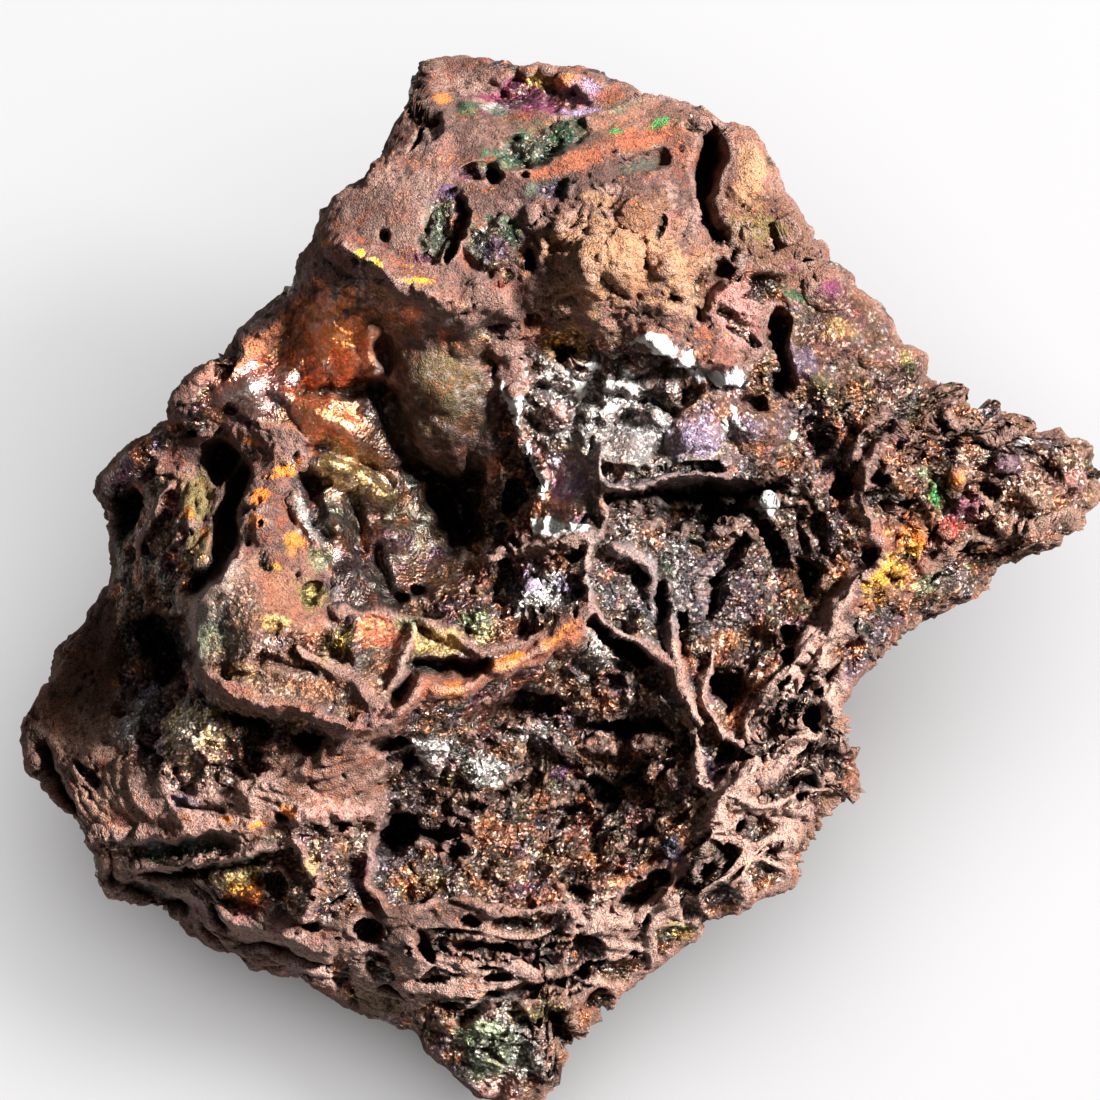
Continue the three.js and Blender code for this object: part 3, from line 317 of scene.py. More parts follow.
# Ridges of the face: the run of the crest, its half-width, its height and its skin.
RIDGES = [
    ([(-9.6, 39.2), (-9.2, 36.6), (-8.2, 34)], 0.8, 1, "matte"),
    ([(-14.5, 29), (-12, 31), (-9.6, 31.8), (-8, 33)], 0.9, 1, "matte"),
    ([(-8, 33.2), (-2, 32.9), (3, 33.8), (7, 35.9)], 0.9, 1.1, "matte"),
    ([(-3, 29.6), (0, 30.4), (4, 31.4), (10, 33)], 1.1, 1.1, "rust"),
    ([(-16, 23.4), (-14.2, 22.2), (-12, 20.8), (-10, 19.7), (-6.8, 18.5), (-4, 19.2)], 1.1, 2.2,
     "matte"),
    ([(-3.2, 18.4), (-2.9, 15), (-2.6, 12.5)], 1.5, 0.8, "matte"),
    ([(-2.6, 12.5), (-2.5, 10), (-1.8, 7.6), (-0.6, 5)], 0.6, 1.6, "drusy"),
    ([(7.6, 16.4), (11, 14.6), (14.8, 14.8), (16.8, 16.4)], 0.9, 1.4, "matte"),
    ([(-30, 11.2), (-27, 14), (-24, 15.8), (-21.5, 18.2), (-18, 21.2)], 1, 1.5, "matte"),
    ([(-13.8, 17.5), (-13.7, 15), (-13.8, 12.5)], 0.6, 1.2, "drusy"),
    ([(-20.4, 4), (-19.4, 2.2), (-18.6, 0.4)], 0.6, 0.9, "drusy"),
    ([(2.9, -5.4), (3.2, -1), (3.2, 0.6)], 0.45, 1.5, "pale"),
    ([(3.2, 0.6), (4, 2.4), (4.1, 5), (4.6, 8)], 0.45, 1, "pale"),
    ([(-4.8, -0.4), (-2, 0.6), (2.8, 0.8)], 0.8, 1.8, "pale"),
    ([(4.4, 5.2), (6, 4.8), (10, 5.8), (14, 5.4)], 0.55, 2.2, "pale"),
    ([(14, 5.4), (18, 6.2)], 0.55, 2, "drusy"),
    ([(5, 6.9), (9, 7), (14, 6.9)], 0.5, 1.1, "drusy"),
    ([(5.6, 3.4), (8, 3.1), (9, 3.4)], 0.4, 1.8, "drusy"),
    ([(5, 0.2), (8, -1.4), (8.4, -3), (9.6, -5.6), (9.6, -8.6), (10.4, -11.4), (12, -13.6)],
     0.6, 1.9, "pale"),
    ([(3.6, -5.2), (7, -7), (9.6, -9.6), (10.4, -11.6)], 0.6, 1.8, "matte"),
    ([(12, -11.8), (12.6, -10), (13, -8.4)], 0.5, 1.5, "pale"),
    ([(12, -11.8), (13.2, -13.4), (14.8, -14.8)], 0.5, 1.5, "pale"),
    ([(11, -13), (12, -16), (12, -18.4), (13.4, -19.6)], 0.5, 1.4, "pale"),
    ([(24, 7.4), (24.6, 8.8), (26, 10.4)], 0.6, 1.8, "matte"),
    ([(25, 6.6), (26.4, 8.4), (28, 10)], 0.6, 1.7, "matte"),
    ([(25.2, 6), (24.6, 4), (25.4, 2), (27, -1.2)], 0.7, 1.6, "matte"),
    ([(17.6, 5), (21, 5.4), (24, 5.6)], 0.5, 1, "drusy"),
    ([(16.6, 4.8), (18.4, 1.6), (20, -1.6)], 0.5, 1, "drusy"),
    ([(27, -1.2), (24.6, -3), (22.4, -6.2), (20.8, -7), (19.4, -8.8), (18, -10.6), (17.2, -12.4),
      (16, -14), (15.8, -16), (15.2, -17.6), (13.6, -19.4)], 0.8, 2.2, "pale"),
    ([(19.2, -9.4), (18.4, -12), (16.9, -16)], 0.5, 1.6, "pale"),
    ([(22.2, -6.4), (21.6, -9), (22.4, -12), (22.8, -14.6)], 0.6, 1.5, "pale"),
    ([(18.4, -12.2), (20.4, -12), (22.4, -11.8)], 0.4, 1.2, "pale"),
    ([(16.9, -16), (19.4, -15.2), (23, -15.6)], 0.5, 1.3, "pale"),
    ([(15.6, -17.6), (18.6, -17.4), (22.6, -18)], 0.5, 1.2, "pale"),
    ([(13.6, -19.4), (16.4, -20.4), (20.6, -20.6)], 0.6, 1.3, "pale"),
    ([(13.6, -19.4), (12.6, -22), (11.4, -24.4), (11, -26.4)], 0.7, 1.3, "pale"),
    ([(18.8, -23.4), (15, -25.8), (10, -28), (8, -29.8)], 1.1, 1.3, "pale"),
    ([(-12.6, -13), (-12, -10.5), (-11.4, -8), (-10.8, -6.2)], 0.5, 1.8, "pale"),
    ([(-12.2, -12.7), (-10, -10.8), (-7, -10.3), (-4, -9.4), (-1, -7.8), (2.8, -5.4)], 1.1, 2.4,
     "rust"),
    ([(-16.4, -4.8), (-12, -5.4), (-8.6, -6.2), (-5.6, -7.6), (-3, -7.4), (0, -6.4),
      (2.8, -5.2)], 0.5, 1.2, "matte"),
    ([(-25.2, -1.4), (-27.2, -3.2), (-28, -5.4), (-27.8, -8.6)], 1.5, 2.4, "grey"),
    ([(-24.6, -0.4), (-27, -2.6), (-28.4, -5), (-28.3, -8.8)], 0.5, 1.6, "pale"),
    ([(-28.2, -9), (-26.2, -10.4), (-24, -11.4), (-20, -12.4), (-14, -13.6), (-12.4, -13.2)],
     1, 2.2, "matte"),
    ([(-13.4, -12), (-15.4, -9.8), (-19.4, -8)], 0.7, 1, "matte"),
    ([(-12.6, -13.4), (-17, -16), (-20, -17.5), (-23.5, -19)], 1.4, 1.6, "matte"),
    ([(-37.8, -4.6), (-38.8, -8), (-40.8, -12.2)], 1.1, 1.3, "matte"),
    ([(-33, -25.4), (-30, -25), (-27, -24.6), (-23, -23.6)], 0.5, 1.6, "matte"),
    ([(-37, -22.6), (-33.4, -23), (-29, -22), (-24, -21.8)], 0.6, 1.1, "matte"),
    ([(-20, -21.2), (-17, -20.8), (-13.6, -20.2)], 0.7, 1.3, "matte"),
    ([(-33, -27.4), (-29, -27.6), (-26.6, -29), (-22.6, -30), (-17, -31.6)], 0.8, 1.4, "matte"),
    ([(-20.6, -23), (-18.6, -26), (-19.6, -28.8)], 0.6, 1.2, "matte"),
    ([(0, -15.8), (4.4, -15.9), (9, -15.6)], 0.5, 1.3, "drusy"),
    ([(-13.4, -19.8), (-14.6, -23), (-14.4, -26.4), (-12.4, -29)], 0.6, 1.2, "matte"),
    ([(-12.4, -29), (-8, -28), (-3, -28.6), (2, -28.6)], 0.7, 1.1, "matte"),
    ([(-30.6, 5.2), (-32.4, 1.6), (-33, 0.4)], 0.4, 1.6, "matte"),
    ([(29, 8.6), (31.6, 10), (34, 9.6), (38, 9)], 0.7, 1.2, "matte"),
    ([(30.5, -1.4), (33, 0.2), (36, 1.2), (42, 3.2)], 0.7, 1.1, "matte"),
    ([(11.2, -15.4), (11, -13)], 0.4, 1, "pale"),
    ([(4.8, -30), (9.8, -30.6)], 0.6, 1, "matte"),
]

# Cracks, slots and grooves: the run, its half-width and its depth.
CRACKS = [
    ([(5.5, 29.6), (9, 30.8)], 0.6, 1),
    ([(-6.8, 27), (-6.5, 24.8)], 0.4, 1.6),
    ([(12.6, 32.2), (12.5, 29), (12.6, 26), (13.4, 25)], 0.8, 5),
    ([(13.6, 22), (12.8, 20), (12, 18.4)], 0.6, 1.8),
    ([(18.3, 18), (18.4, 16), (18.2, 13.6)], 0.7, 3.2),
    ([(-19, 13), (-16.6, 12.6), (-13.8, 12.8)], 0.6, 1.1),
    ([(-13.6, 12.4), (-11, 8.2), (-9.4, 5.2), (-6, 2)], 0.9, 1.4),
    ([(-19, 8), (-16, 7.4), (-12.8, 5.6)], 0.5, 0.8),
    ([(-24.6, 6), (-25.6, 3), (-25.4, 0.5), (-26.5, -2), (-28, -3)], 0.8, 4),
    ([(4.8, 3.9), (8, 4.3), (12, 4.7), (18, 5.3)], 0.6, 4.5),
    ([(3.2, -5.9), (6.6, -7.6), (7.8, -9.2)], 0.5, 3),
    ([(8.9, -2.5), (8.9, -5)], 0.4, 2.6),
    ([(-1.6, 6.8), (-1, 5.2)], 0.4, 2),
    ([(-12, -11.4), (-10.4, -9.4), (-7.6, -9), (-5.4, -9)], 0.6, 3),
    ([(-41, -16.4), (-39.6, -18.4), (-38, -20)], 0.5, 2.4),
    ([(-29.8, -19.6), (-28, -20.3), (-26, -20.2)], 0.3, 0.6),
    ([(-33, -24.2), (-30.6, -23.5), (-28, -23.2), (-25.4, -22.9)], 0.7, 0.6),
    ([(-32.6, -26.3), (-30.6, -26.1), (-28.6, -25.6)], 0.4, 1.5),
    ([(-27.6, -25.6), (-25, -25), (-22.4, -24.4)], 0.5, 1.3),
    ([(-27.2, -28.6), (-26.2, -30)], 0.4, 2.2),
    ([(-7, -37.4), (-4.6, -36.2), (0, -35.4), (2.4, -34.4)], 0.5, 2.4),
    ([(-2, -38.6), (2.6, -37), (4, -36)], 0.4, 2),
    ([(-35, -24.6), (-35.4, -26.8)], 0.4, 1.8),
    ([(-24.6, -31.4), (-21, -31.8), (-17.6, -33)], 0.35, 1.2),
    ([(-28, -30.6), (-24.6, -32.8)], 0.35, 1.2),
    ([(10.6, -5), (10.4, -8.4)], 0.4, 1.8),
    ([(15.6, 0.8), (13.4, -2), (13, -5)], 0.5, 1.8),
    ([(-22.6, -8.8), (-18.6, -9.4)], 0.3, 0.7),
    ([(-15.8, 3.6), (-15.3, 1.4), (-14.8, -0.8)], 0.7, 1.2),
    ([(-13.4, -0.2), (-12.9, -2.2), (-12.4, -4)], 0.7, 1.1),
    ([(-18.9, 5.2), (-18.3, 3), (-17.9, 1)], 0.5, 0.7),
]

# Thin parallel layers on the broken edges: the run, the band's half-width, pitch and height.
LAYERS = [
    ([(-42.4, -13.4), (-40, -16.4), (-38, -19), (-36, -21.6), (-33.8, -25.2)], 1.5, 0.6, 0.09),
    ([(-28.6, -31), (-24, -32.6), (-19, -34), (-14, -36.6)], 1.5, 0.6, 0.1),
    ([(-39.6, -8), (-37, -4.4)], 1.1, 0.6, 0.08),
]

# How the side leaves the rim, by bearing in degrees: above 1 it drops first, below 1 it
# tucks under first.
UNDERCUTS = [
    (-180, 1.3), (-130, 0.9), (-90, 0.8), (-60, 0.9), (-25, 1.2), (-4, 0.8), (8, 0.6), (20, 0.9),
    (45, 1.4), (90, 1.6), (150, 1.4), (180, 1.3),
]

# Pockets (sunk) and knobs (raised) of the sides: bearing in degrees, share of the way down,
# radius and depth.
SIDE_POCKETS = [
    (100, 0.3, 9, 6), (72, 0.46, 8, 5), (128, 0.42, 8.5, 5.4), (46, 0.28, 8, 4.6), (154, 0.3, 8, 5),
    (178, 0.46, 8, 5), (206, 0.32, 7, 4), (228, 0.56, 7, 3.6), (20, 0.5, 8, 4.4),
    (-14, 0.42, 8, 4.6), (-42, 0.42, 7.5, 4.4), (-70, 0.44, 7, 3.4), (-104, 0.46, 7, 3.4),
    (112, 0.7, 7, 4), (60, 0.74, 7, 3.6), (88, 0.56, 6, -3), (116, 0.16, 6, -2.4),
    (60, 0.14, 6, -2.4), (150, 0.62, 7, -3.2), (190, 0.2, 6, -2.6), (36, 0.62, 7, -3),
    (-28, 0.66, 7, -3.2), (-86, 0.62, 6, -2.4), (205, 0.64, 6, -2.6),
]

# Regions of the face by the nature of their surface, as outlines.
ZONES = {
    "matte": [
        [(-13, 41), (6, 41), (20, 33), (25, 22), (19, 19.5), (16.6, 16), (13.5, 15.4), (7.6, 16.8),
         (3, 17.6), (-2, 18.4), (-6.8, 18.3), (-10, 19.6), (-14.2, 22.2), (-19, 20), (-22, 26)],
        [(-31, 7.6), (-28, 9.5), (-24.5, 10.2), (-19.5, 9.6), (-18.6, 6.8), (-20.4, 4), (-19.6, 0),
         (-17, -3), (-17, -6), (-21, -6.4), (-24, -1), (-29, 0)],
        [(-44, -21), (-44, -12), (-41, -8), (-37, -4.5), (-35.4, -4), (-35.5, -14.5), (-33, -17),
         (-29, -19.2), (-24, -18.6), (-19, -15.5), (-13, -14), (-13.4, -19.6), (-20, -21.8),
         (-24, -23), (-33, -23.6), (-37, -23)],
        [(-38, -24), (-27, -27.6), (-20, -29.4), (-13, -28.6), (-2, -28.4), (4, -29), (2, -33),
         (-2, -36), (-9, -38), (-15, -39), (-24, -35), (-36, -30)],
        [(28, 0), (25, -4), (22.4, -8), (26, -14), (26, -21), (19, -29), (10, -33), (5, -38),
         (0, -36), (3, -28.6), (10, -24.4), (12.6, -19), (15.2, -16), (17, -11), (20, -7.4),
         (23, -3)],
    ],
    "crumbly": [
        [(27, 11), (31, 14), (36, 12), (48, 9), (47, 4), (40, -2), (30, -6), (25, -10), (23, -6),
         (27, 0), (27, 6)],
        [(22, -12), (27, -14), (26, -22), (20, -28), (18, -24), (22, -19)],
        [(12, 28), (17, 29), (23, 22), (18, 20), (13, 22)],
        [(-2, -37), (6, -36), (2, -42), (-1, -46)],
    ],
    "lace": [
        [(24, -6), (27, -14), (25.6, -21), (19, -26), (12, -31), (6, -36), (2, -36), (3, -29),
         (11, -26), (11.6, -20), (14, -15), (16.6, -10), (20, -6)],
        [(-10, -40), (-16, -38), (-22, -34), (-20, -31), (-12, -32), (-6, -30), (2, -29), (0, -34),
         (-4, -37)],
    ],
    "satin": [
        [(-28, 11), (-24, 15.6), (-18, 21), (-12, 21), (-5, 18.6), (-4, 12), (-4.6, 4), (-5, 0),
         (-8, -3), (-13, -5), (-17.5, -4), (-19.4, 0), (-18.5, 4), (-21, 8.6)],
        [(-0.8, 3.4), (-0.4, 8), (1.8, 9), (3.8, 7.6), (3.8, 3.6), (2, 2.8)],
    ],
    "rough": [
        [(-2, 19), (-1.6, 26), (3, 29), (9, 28.6), (12, 27), (12.6, 19), (7.6, 16.8), (3, 17.6)],
        [(-4.6, 18.4), (-0.6, 18.6), (0, 12), (-4, 12)],
        [(13.6, 26), (19, 26), (21, 20), (15, 22)],
    ],
    "grainy": [
        [(8.6, 7.2), (8.8, 10.8), (11, 11.4), (13.6, 12.6), (18.8, 12), (19.6, 7.6), (15, 6.8)],
        [(4, 6.8), (3.6, 9.4), (8.4, 9.8), (8.6, 7)],
        [(19, 22), (24, 22), (29, 16.4), (28, 13.6), (19, 13)],
        [(-28, -4), (-24.6, -0.6), (-21.4, -2.4), (-20.6, -6), (-22.4, -8.2), (-27.4, -9.6)],
        [(-15.6, -4.8), (-11.6, -5.6), (-11.2, -8.6), (-13.2, -11.6), (-15.4, -9.6)],
        [(-21.4, -8.4), (-15.6, -10.4), (-13.6, -12.4), (-20, -12), (-24.6, -10.6)],
        [(-11, -6.4), (-5, -7.4), (-1, -7.2), (-4, -9), (-10.6, -9.6)],
        [(-13.4, 16.6), (-5.2, 17), (-4.6, 7), (-9, 5.6), (-12.4, 9)],
    ],
    "smooth": [
        [(-18, 25), (-13, 30.4), (-8, 33), (0, 33.4), (8, 35.4), (8, 33), (1, 30.4), (-4, 27.4),
         (-5.6, 21), (-10, 20.6), (-14.6, 23)],
        [(14, 33.6), (17.4, 33), (18.4, 27), (14.4, 26)],
        [(-36.6, 5.8), (-31.2, 8.4), (-30.6, 5), (-34, 0), (-35.6, 0.5)],
        [(9.4, -27.2), (18.8, -22.6), (20, -25), (11, -30)],
        [(-28.6, -3.6), (-24, -0.2), (-13.4, -8), (-13, -12.6), (-27, -10.6)],
    ],
}

# ---------------------------------------------------------------- colours

# Colours as seen, each channel 0 to 1.
PALETTE = {
    "matte": (0.47, 0.345, 0.305), "dark matte": (0.29, 0.195, 0.17), "pale": (0.64, 0.51, 0.46),
    "rust": (0.56, 0.30, 0.19), "orange": (0.95, 0.52, 0.12), "ochre": (0.92, 0.66, 0.16),
    "tan": (0.62, 0.45, 0.32), "brown": (0.44, 0.29, 0.20), "dark brown": (0.22, 0.14, 0.10),
    "grey": (0.46, 0.44, 0.43), "grey green": (0.32, 0.35, 0.29), "steel": (0.31, 0.29, 0.33),
    "silver": (0.84, 0.82, 0.80), "copper": (0.92, 0.55, 0.36), "gold": (0.92, 0.76, 0.46),
    "bronze": (0.48, 0.34, 0.25), "dark bronze": (0.27, 0.19, 0.14), "olive": (0.46, 0.43, 0.20),
    "magenta": (0.44, 0.14, 0.30), "purple": (0.32, 0.20, 0.36), "lilac": (0.62, 0.54, 0.68),
    "green": (0.11, 0.31, 0.18),
    "bright green": (0.16, 0.52, 0.24), "teal": (0.09, 0.28, 0.26),
    "pale green": (0.58, 0.66, 0.48),
    "blue": (0.22, 0.28, 0.44), "red brown": (0.42, 0.17, 0.11), "pink": (0.74, 0.50, 0.47),
    "red": (0.70, 0.22, 0.14), "chalk": (0.90, 0.90, 0.88), "yellow": (0.95, 0.75, 0.20),
}

# Patches of colour on the face: colour, u, v, half-width, half-height, turn, strength.
PATCHES = [
    # the cap
    ("dark matte", 2, 33.4, 13, 5, 6, 0.6), ("brown", 4, 33, 9, 4, 6, 0.4),
    ("dark matte", 1, 28.6, 11, 4, 0, 0.9), ("pale", -11, 27.6, 4.4, 5, -30, 0.3),
    ("magenta", -3.2, 36.3, 3.4, 1.7, 4, 1), ("magenta", -0.6, 35, 2.2, 0.9, 0, 1),
    ("pink", 2.2, 36.2, 1.8, 1.3, 0, 0.9), ("silver", -4.4, 35.2, 1.4, 0.6, -20, 0.6),
    ("gold", -1, 37.2, 1.3, 0.8, 0, 0.9), ("orange", 1.2, 37.2, 1.2, 0.8, 0, 0.7),
    ("lilac", 2.6, 36.6, 1.8, 1, 0, 0.6), ("rust", 4.4, 36.4, 1.4, 0.8, 0, 0.7),
    ("grey green", -3.8, 34.6, 1.8, 0.5, -30, 0.8), ("lilac", 2.6, 34.8, 2, 0.5, 10, 0.7),
    ("green", 5.6, 35.1, 1.3, 0.6, 10, 0.9), ("green", -6.8, 34.9, 1.1, 0.9, 0, 0.9),
    ("green", -3.4, 30.7, 1.6, 0.8, 25, 0.9), ("green", -0.8, 31.9, 4.4, 1.4, 20, 0.9),
    ("grey", -1.8, 31.8, 2.4, 0.5, 20, 0.5), ("teal", 0.4, 31.7, 2, 0.5, 20, 0.8),
    ("purple", -6.2, 29.4, 1.4, 0.7, 0, 0.8), ("green", -4.8, 29.8, 1, 0.6, 0, 0.8),
    ("rust", 1.6, 30.2, 4.4, 0.9, 14, 0.8), ("grey green", -0.2, 28, 2.4, 1.1, 10, 0.8),
    ("rust", 7.4, 32.3, 3, 1, 20, 0.9), ("bright green", 5.4, 32.7, 0.7, 0.35, 10, 0.8),
    ("bright green", 9, 33.5, 1, 0.4, 10, 0.8), ("grey green", 7.2, 30.2, 2.2, 0.5, 20, 0.7),
    ("purple", 0.3, 28, 1.5, 1, 0, 0.6), ("grey green", -8.8, 25.1, 1.1, 3, -19, 0.95),
    ("green", -8, 26.4, 0.4, 1.6, -19, 0.7), ("purple", -8, 27.6, 0.9, 0.8, 0, 0.8),
    ("magenta", -9.8, 22.8, 1.2, 0.7, 0, 0.7), ("grey green", -4.6, 23.8, 2, 2, 0, 0.9),
    ("green", -3.2, 24.4, 0.9, 1.2, 0, 0.7), ("purple", -4.4, 23.2, 1, 1.2, 0, 0.8),
    ("yellow", -14.6, 22.8, 0.5, 0.45, 0, 1), ("yellow", -13.4, 21.9, 1, 0.25, -38, 0.9),
    ("ochre", -10.2, 20.6, 1.6, 0.25, -8, 0.9), ("red", -3.8, 20.2, 0.6, 0.5, 0, 0.8),
    ("tan", 5, 22.8, 6, 4.4, 0, 0.85), ("brown", 5.6, 20, 4, 0.8, 0, 0.5),
    ("tan", 1.8, 19.6, 3, 1.8, 0, 0.8), ("brown", 7, 26.4, 2.4, 1.8, 0, 0.7),
    ("tan", 11, 21, 2.6, 3.4, 0, 0.7), ("tan", 16, 30, 1.7, 3.4, 0, 0.8),
    ("brown", 17.4, 25, 3.4, 2.4, 0, 0.6), ("olive", 16.4, 25.6, 2, 1.2, 0, 0.5),
    ("pink", 14.6, 19, 1.8, 2.6, 0, 0.5), ("grey", 14.4, 22.6, 1.2, 0.9, 0, 0.5),
    # Painted shade: the two dark matte patches below darken the block's left-facing side.
    ("dark matte", -10.6, 36.8, 1.5, 3.4, 8, 1), ("dark matte", -11.8, 32, 1.9, 3.2, 20, 1),
    ("orange", -8.8, 36.2, 0.5, 0.8, 0, 0.6), ("red brown", -12.6, 33, 1.4, 2, 0, 0.5),
    ("rust", -2, 34.2, 1.6, 0.4, 8, 0.6), ("rust", 12, 31, 1.6, 1, 0, 0.4),
    ("orange", -17.6, 23.8, 0.6, 0.35, 0, 0.6), ("dark matte", -13, 26.6, 3, 1.6, 20, 0.35),
    # the right shoulder
    ("magenta", 22.2, 21, 1.5, 1.3, 0, 0.85), ("green", 19.2, 20.2, 1.5, 0.7, 0, 0.9),
    ("pink", 21.3, 19.6, 1.2, 0.5, -20, 0.7), ("gold", 22.8, 17.6, 1.3, 1, 0, 0.6),
    ("pink", 22, 16.6, 1.2, 0.8, 0, 0.6), ("lilac", 20, 15.2, 1.5, 1.4, 0, 0.7),
    ("olive", 21.6, 13.4, 1.3, 1, 0, 0.7), ("pink", 26.5, 15.3, 1.3, 0.9, 0, 0.7),
    ("olive", 28.2, 15.2, 1.1, 0.9, 0, 0.7), ("magenta", 24, 18.6, 1.4, 1, -30, 0.5),
    ("dark matte", 24.6, 11.6, 3, 1.2, 0, 0.4), ("magenta", 19, 22.2, 0.9, 0.6, 0, 0.5),
    ("dark brown", 23, 17, 6, 5, 0, 0.6),
    # the copper hollow
    ("copper", -17.4, 16.6, 4.6, 3.8, 0, 1), ("orange", -16.6, 17, 2.4, 2, 0, 0.45),
    # The pink and silver patches by (-24, 12.5) are partly painted highlight, partly pink lumps.
    ("copper", -24, 14.6, 3.6, 2.2, 30, 0.7), ("pink", -24, 12.6, 3.4, 2.6, 20, 0.9),
    ("silver", -23.6, 12.4, 2, 1.6, 30, 0.5), ("pink", -21.4, 13.4, 1.6, 1.8, 20, 0.7),
    ("copper", -17.4, 10.6, 4, 2.2, -30, 0.9), ("bronze", -13.4, 8.4, 2.6, 2, -30, 0.7),
    ("dark bronze", -9.2, 11.8, 4.4, 5.4, 0, 0.9), ("bronze", -8, 14.4, 2.2, 2.4, 0, 0.5),
    ("gold", -16.2, 6, 2.2, 1.8, 0, 0.8), ("gold", -13.4, 4.6, 1.8, 1.6, 0, 0.6),
    ("grey green", -11.6, 2, 3, 2.4, 0, 0.9), ("green", -13, 3.4, 1, 1, 0, 0.35),
    ("purple", -12.6, 0.6, 1.8, 1.4, 0, 0.7), ("steel", -15.6, -2, 3, 2.8, 0, 0.9),
    ("purple", -14.6, -0.8, 1.4, 0.9, 0, 0.5), ("grey green", -16.8, 2, 1.4, 2, 0, 0.9),
    # Painted highlight: the silver patch at (-19.4, 2.2) below.
    ("pale green", -18.4, -0.8, 1, 1, 0, 0.6), ("silver", -19.4, 2.2, 0.8, 2.2, 25, 0.7),
    ("green", -17.8, 3.6, 1.2, 1.2, 0, 0.5), ("red brown", -4.6, -2.6, 2.8, 2.2, 0, 0.7),
    ("silver", -0.6, -3.4, 3, 1.9, 0, 0.8), ("lilac", -1.6, -2.4, 1.4, 1.1, 0, 0.8),
    ("lilac", 1.4, -3, 1.2, 1, 0, 0.8), ("pale green", -5.8, -5.6, 1.8, 0.9, -10, 0.7),
    ("red brown", 0, -5.2, 1.8, 0.8, 0, 0.6), ("dark brown", -7.4, 4, 4, 4.6, 0, 0.7),
    ("red brown", -9, 8, 2, 2, 0, 0.4), ("brown", -21, 16.6, 2.4, 1.2, 40, 0.5),
    ("pale green", -11.4, -6, 1.6, 0.8, 0, 0.7), ("gold", -8.8, -7.2, 2, 1.1, 0, 0.6),
    ("copper", -13.8, -6.6, 1.8, 1.4, 0, 0.75), ("red", -13.4, -7.2, 1.2, 0.8, 0, 0.45),
    ("olive", -16.9, -7.4, 1.6, 1.4, 0, 0.8), ("yellow", -16.9, -7, 0.8, 0.8, 0, 0.35),
    ("bronze", -12, 17, 1.6, 1.2, 0, 0.5), ("dark brown", -9, 11, 5, 6.6, 0, 0.7),
    ("olive", -8, 13.4, 2.6, 3.6, 0, 0.2), ("dark brown", -14, 0.6, 5.4, 6, 0, 0.7),
    # the left shelf, its pocket and lobe
    ("orange", -21, 6.4, 1.6, 0.6, 10, 0.85), ("orange", -22.8, 4.2, 1, 0.6, 50, 0.8),
    ("orange", -23, 2.2, 0.7, 0.6, 0, 0.7), ("orange", -20.2, 0.6, 0.7, 1.1, 0, 0.7),
    ("olive", -28.4, 4.4, 1.6, 2, 0, 0.6), ("olive", -28, 0, 1.6, 1.6, 0, 0.5),
    ("orange", -29.2, 3, 0.5, 0.7, 0, 0.8), ("orange", -29, -1.4, 0.6, 0.4, 0, 0.8),
    ("orange", -30.4, -0.4, 0.5, 0.4, 0, 0.7), ("orange", -27.2, 1.2, 0.4, 0.6, 0, 0.6),
    ("magenta", -34.5, 6.1, 1.6, 0.9, 20, 0.9), ("red", -33.6, 5, 1.1, 0.9, 0, 0.7),
    ("green", -35, 1.8, 0.9, 1.6, 0, 0.95), ("orange", -24, 8.4, 0.7, 0.4, 0, 0.5),
    ("orange", -31.8, 8.6, 0.6, 0.4, 0, 0.5), ("ochre", -21.6, -1.4, 0.5, 0.4, 0, 0.6),
    # the prow and its rims
    ("tan", -25, -4.6, 3.2, 4.6, -20, 0.6), ("grey", -25.6, -5, 2.8, 4.2, -20, 0.6),
    ("grey green", -24.6, -6, 2.2, 2.4, 0, 0.6), ("pale green", -26.8, -7, 1.4, 1.6, 0, 0.3),
    ("magenta", -23, -3, 0.9, 0.8, 0, 0.35), ("pale", -28.3, -5, 0.5, 2.4, 0, 0.8),
    ("rust", -22, -5, 4, 4, 0, 0.3), ("brown", -21, -3.6, 4, 3.4, 0, 0.4),
    ("gold", -21.6, -6, 1.3, 0.8, 20, 0.7), ("olive", -18.7, -3.4, 1.3, 1.4, 0, 0.8),
    ("gold", -18.6, -3, 0.5, 0.5, 0, 0.5), ("bronze", -21, -9.8, 6, 1.9, -12, 0.75),
    ("gold", -24, -9.4, 1.6, 0.8, 0, 0.35), ("rust", -24.6, -11, 2.4, 0.6, -25, 0.45),
    ("rust", -19, -12.6, 3, 0.6, -10, 0.5), ("rust", -15, -13.6, 1.8, 0.5, -10, 0.5),
    ("orange", -7.4, -10.4, 1.4, 0.6, 10, 0.5), ("orange", -3.5, -8.7, 1.7, 0.6, 22, 0.95),
    ("orange", 0.4, -6.8, 1.6, 0.4, 35, 0.6), ("pink", -13, -12.4, 1, 0.8, 0, 0.5),
    ("teal", -9.6, -9.3, 2, 0.5, 10, 0.7), ("orange", 5.8, -2.8, 0.35, 1.9, 0, 0.7),
    ("green", -20.6, 0.2, 0.5, 0.5, 0, 0.4),
    # the dark hollow
    ("steel", -33.2, -12.8, 2.2, 2.4, 0, 0.9), ("silver", -32.6, -13.6, 1.8, 2, 0, 0.6),
    ("blue", -32.6, -11.4, 1.4, 1, 0, 0.5), ("gold", -28, -15, 2.8, 3.2, 20, 1),
    # The silver patch at (-28.4, -14.6) is partly the lump's pale colour, partly painted highlight.
    ("silver", -28.4, -14.6, 1.6, 2.2, 0, 0.6), ("lilac", -31.2, -15.8, 1.5, 1.4, 0, 0.9),
    ("bronze", -26.6, -16.5, 1.8, 0.8, 0, 0.9), ("ochre", -26.2, -16.7, 0.8, 0.3, 0, 0.4),
    ("magenta", -31.6, -14.2, 0.9, 0.8, 0, 0.4), ("rust", -21.6, -15.6, 1.4, 1.4, 0, 0.4),
    ("orange", -35.4, -11, 0.4, 0.35, 0, 0.8), ("orange", -35.4, -13, 0.4, 0.35, 0, 0.7),
    ("rust", -38.8, -8, 0.8, 0.6, 0, 0.7), ("rust", -39.6, -13.6, 2, 1.4, 50, 0.45),
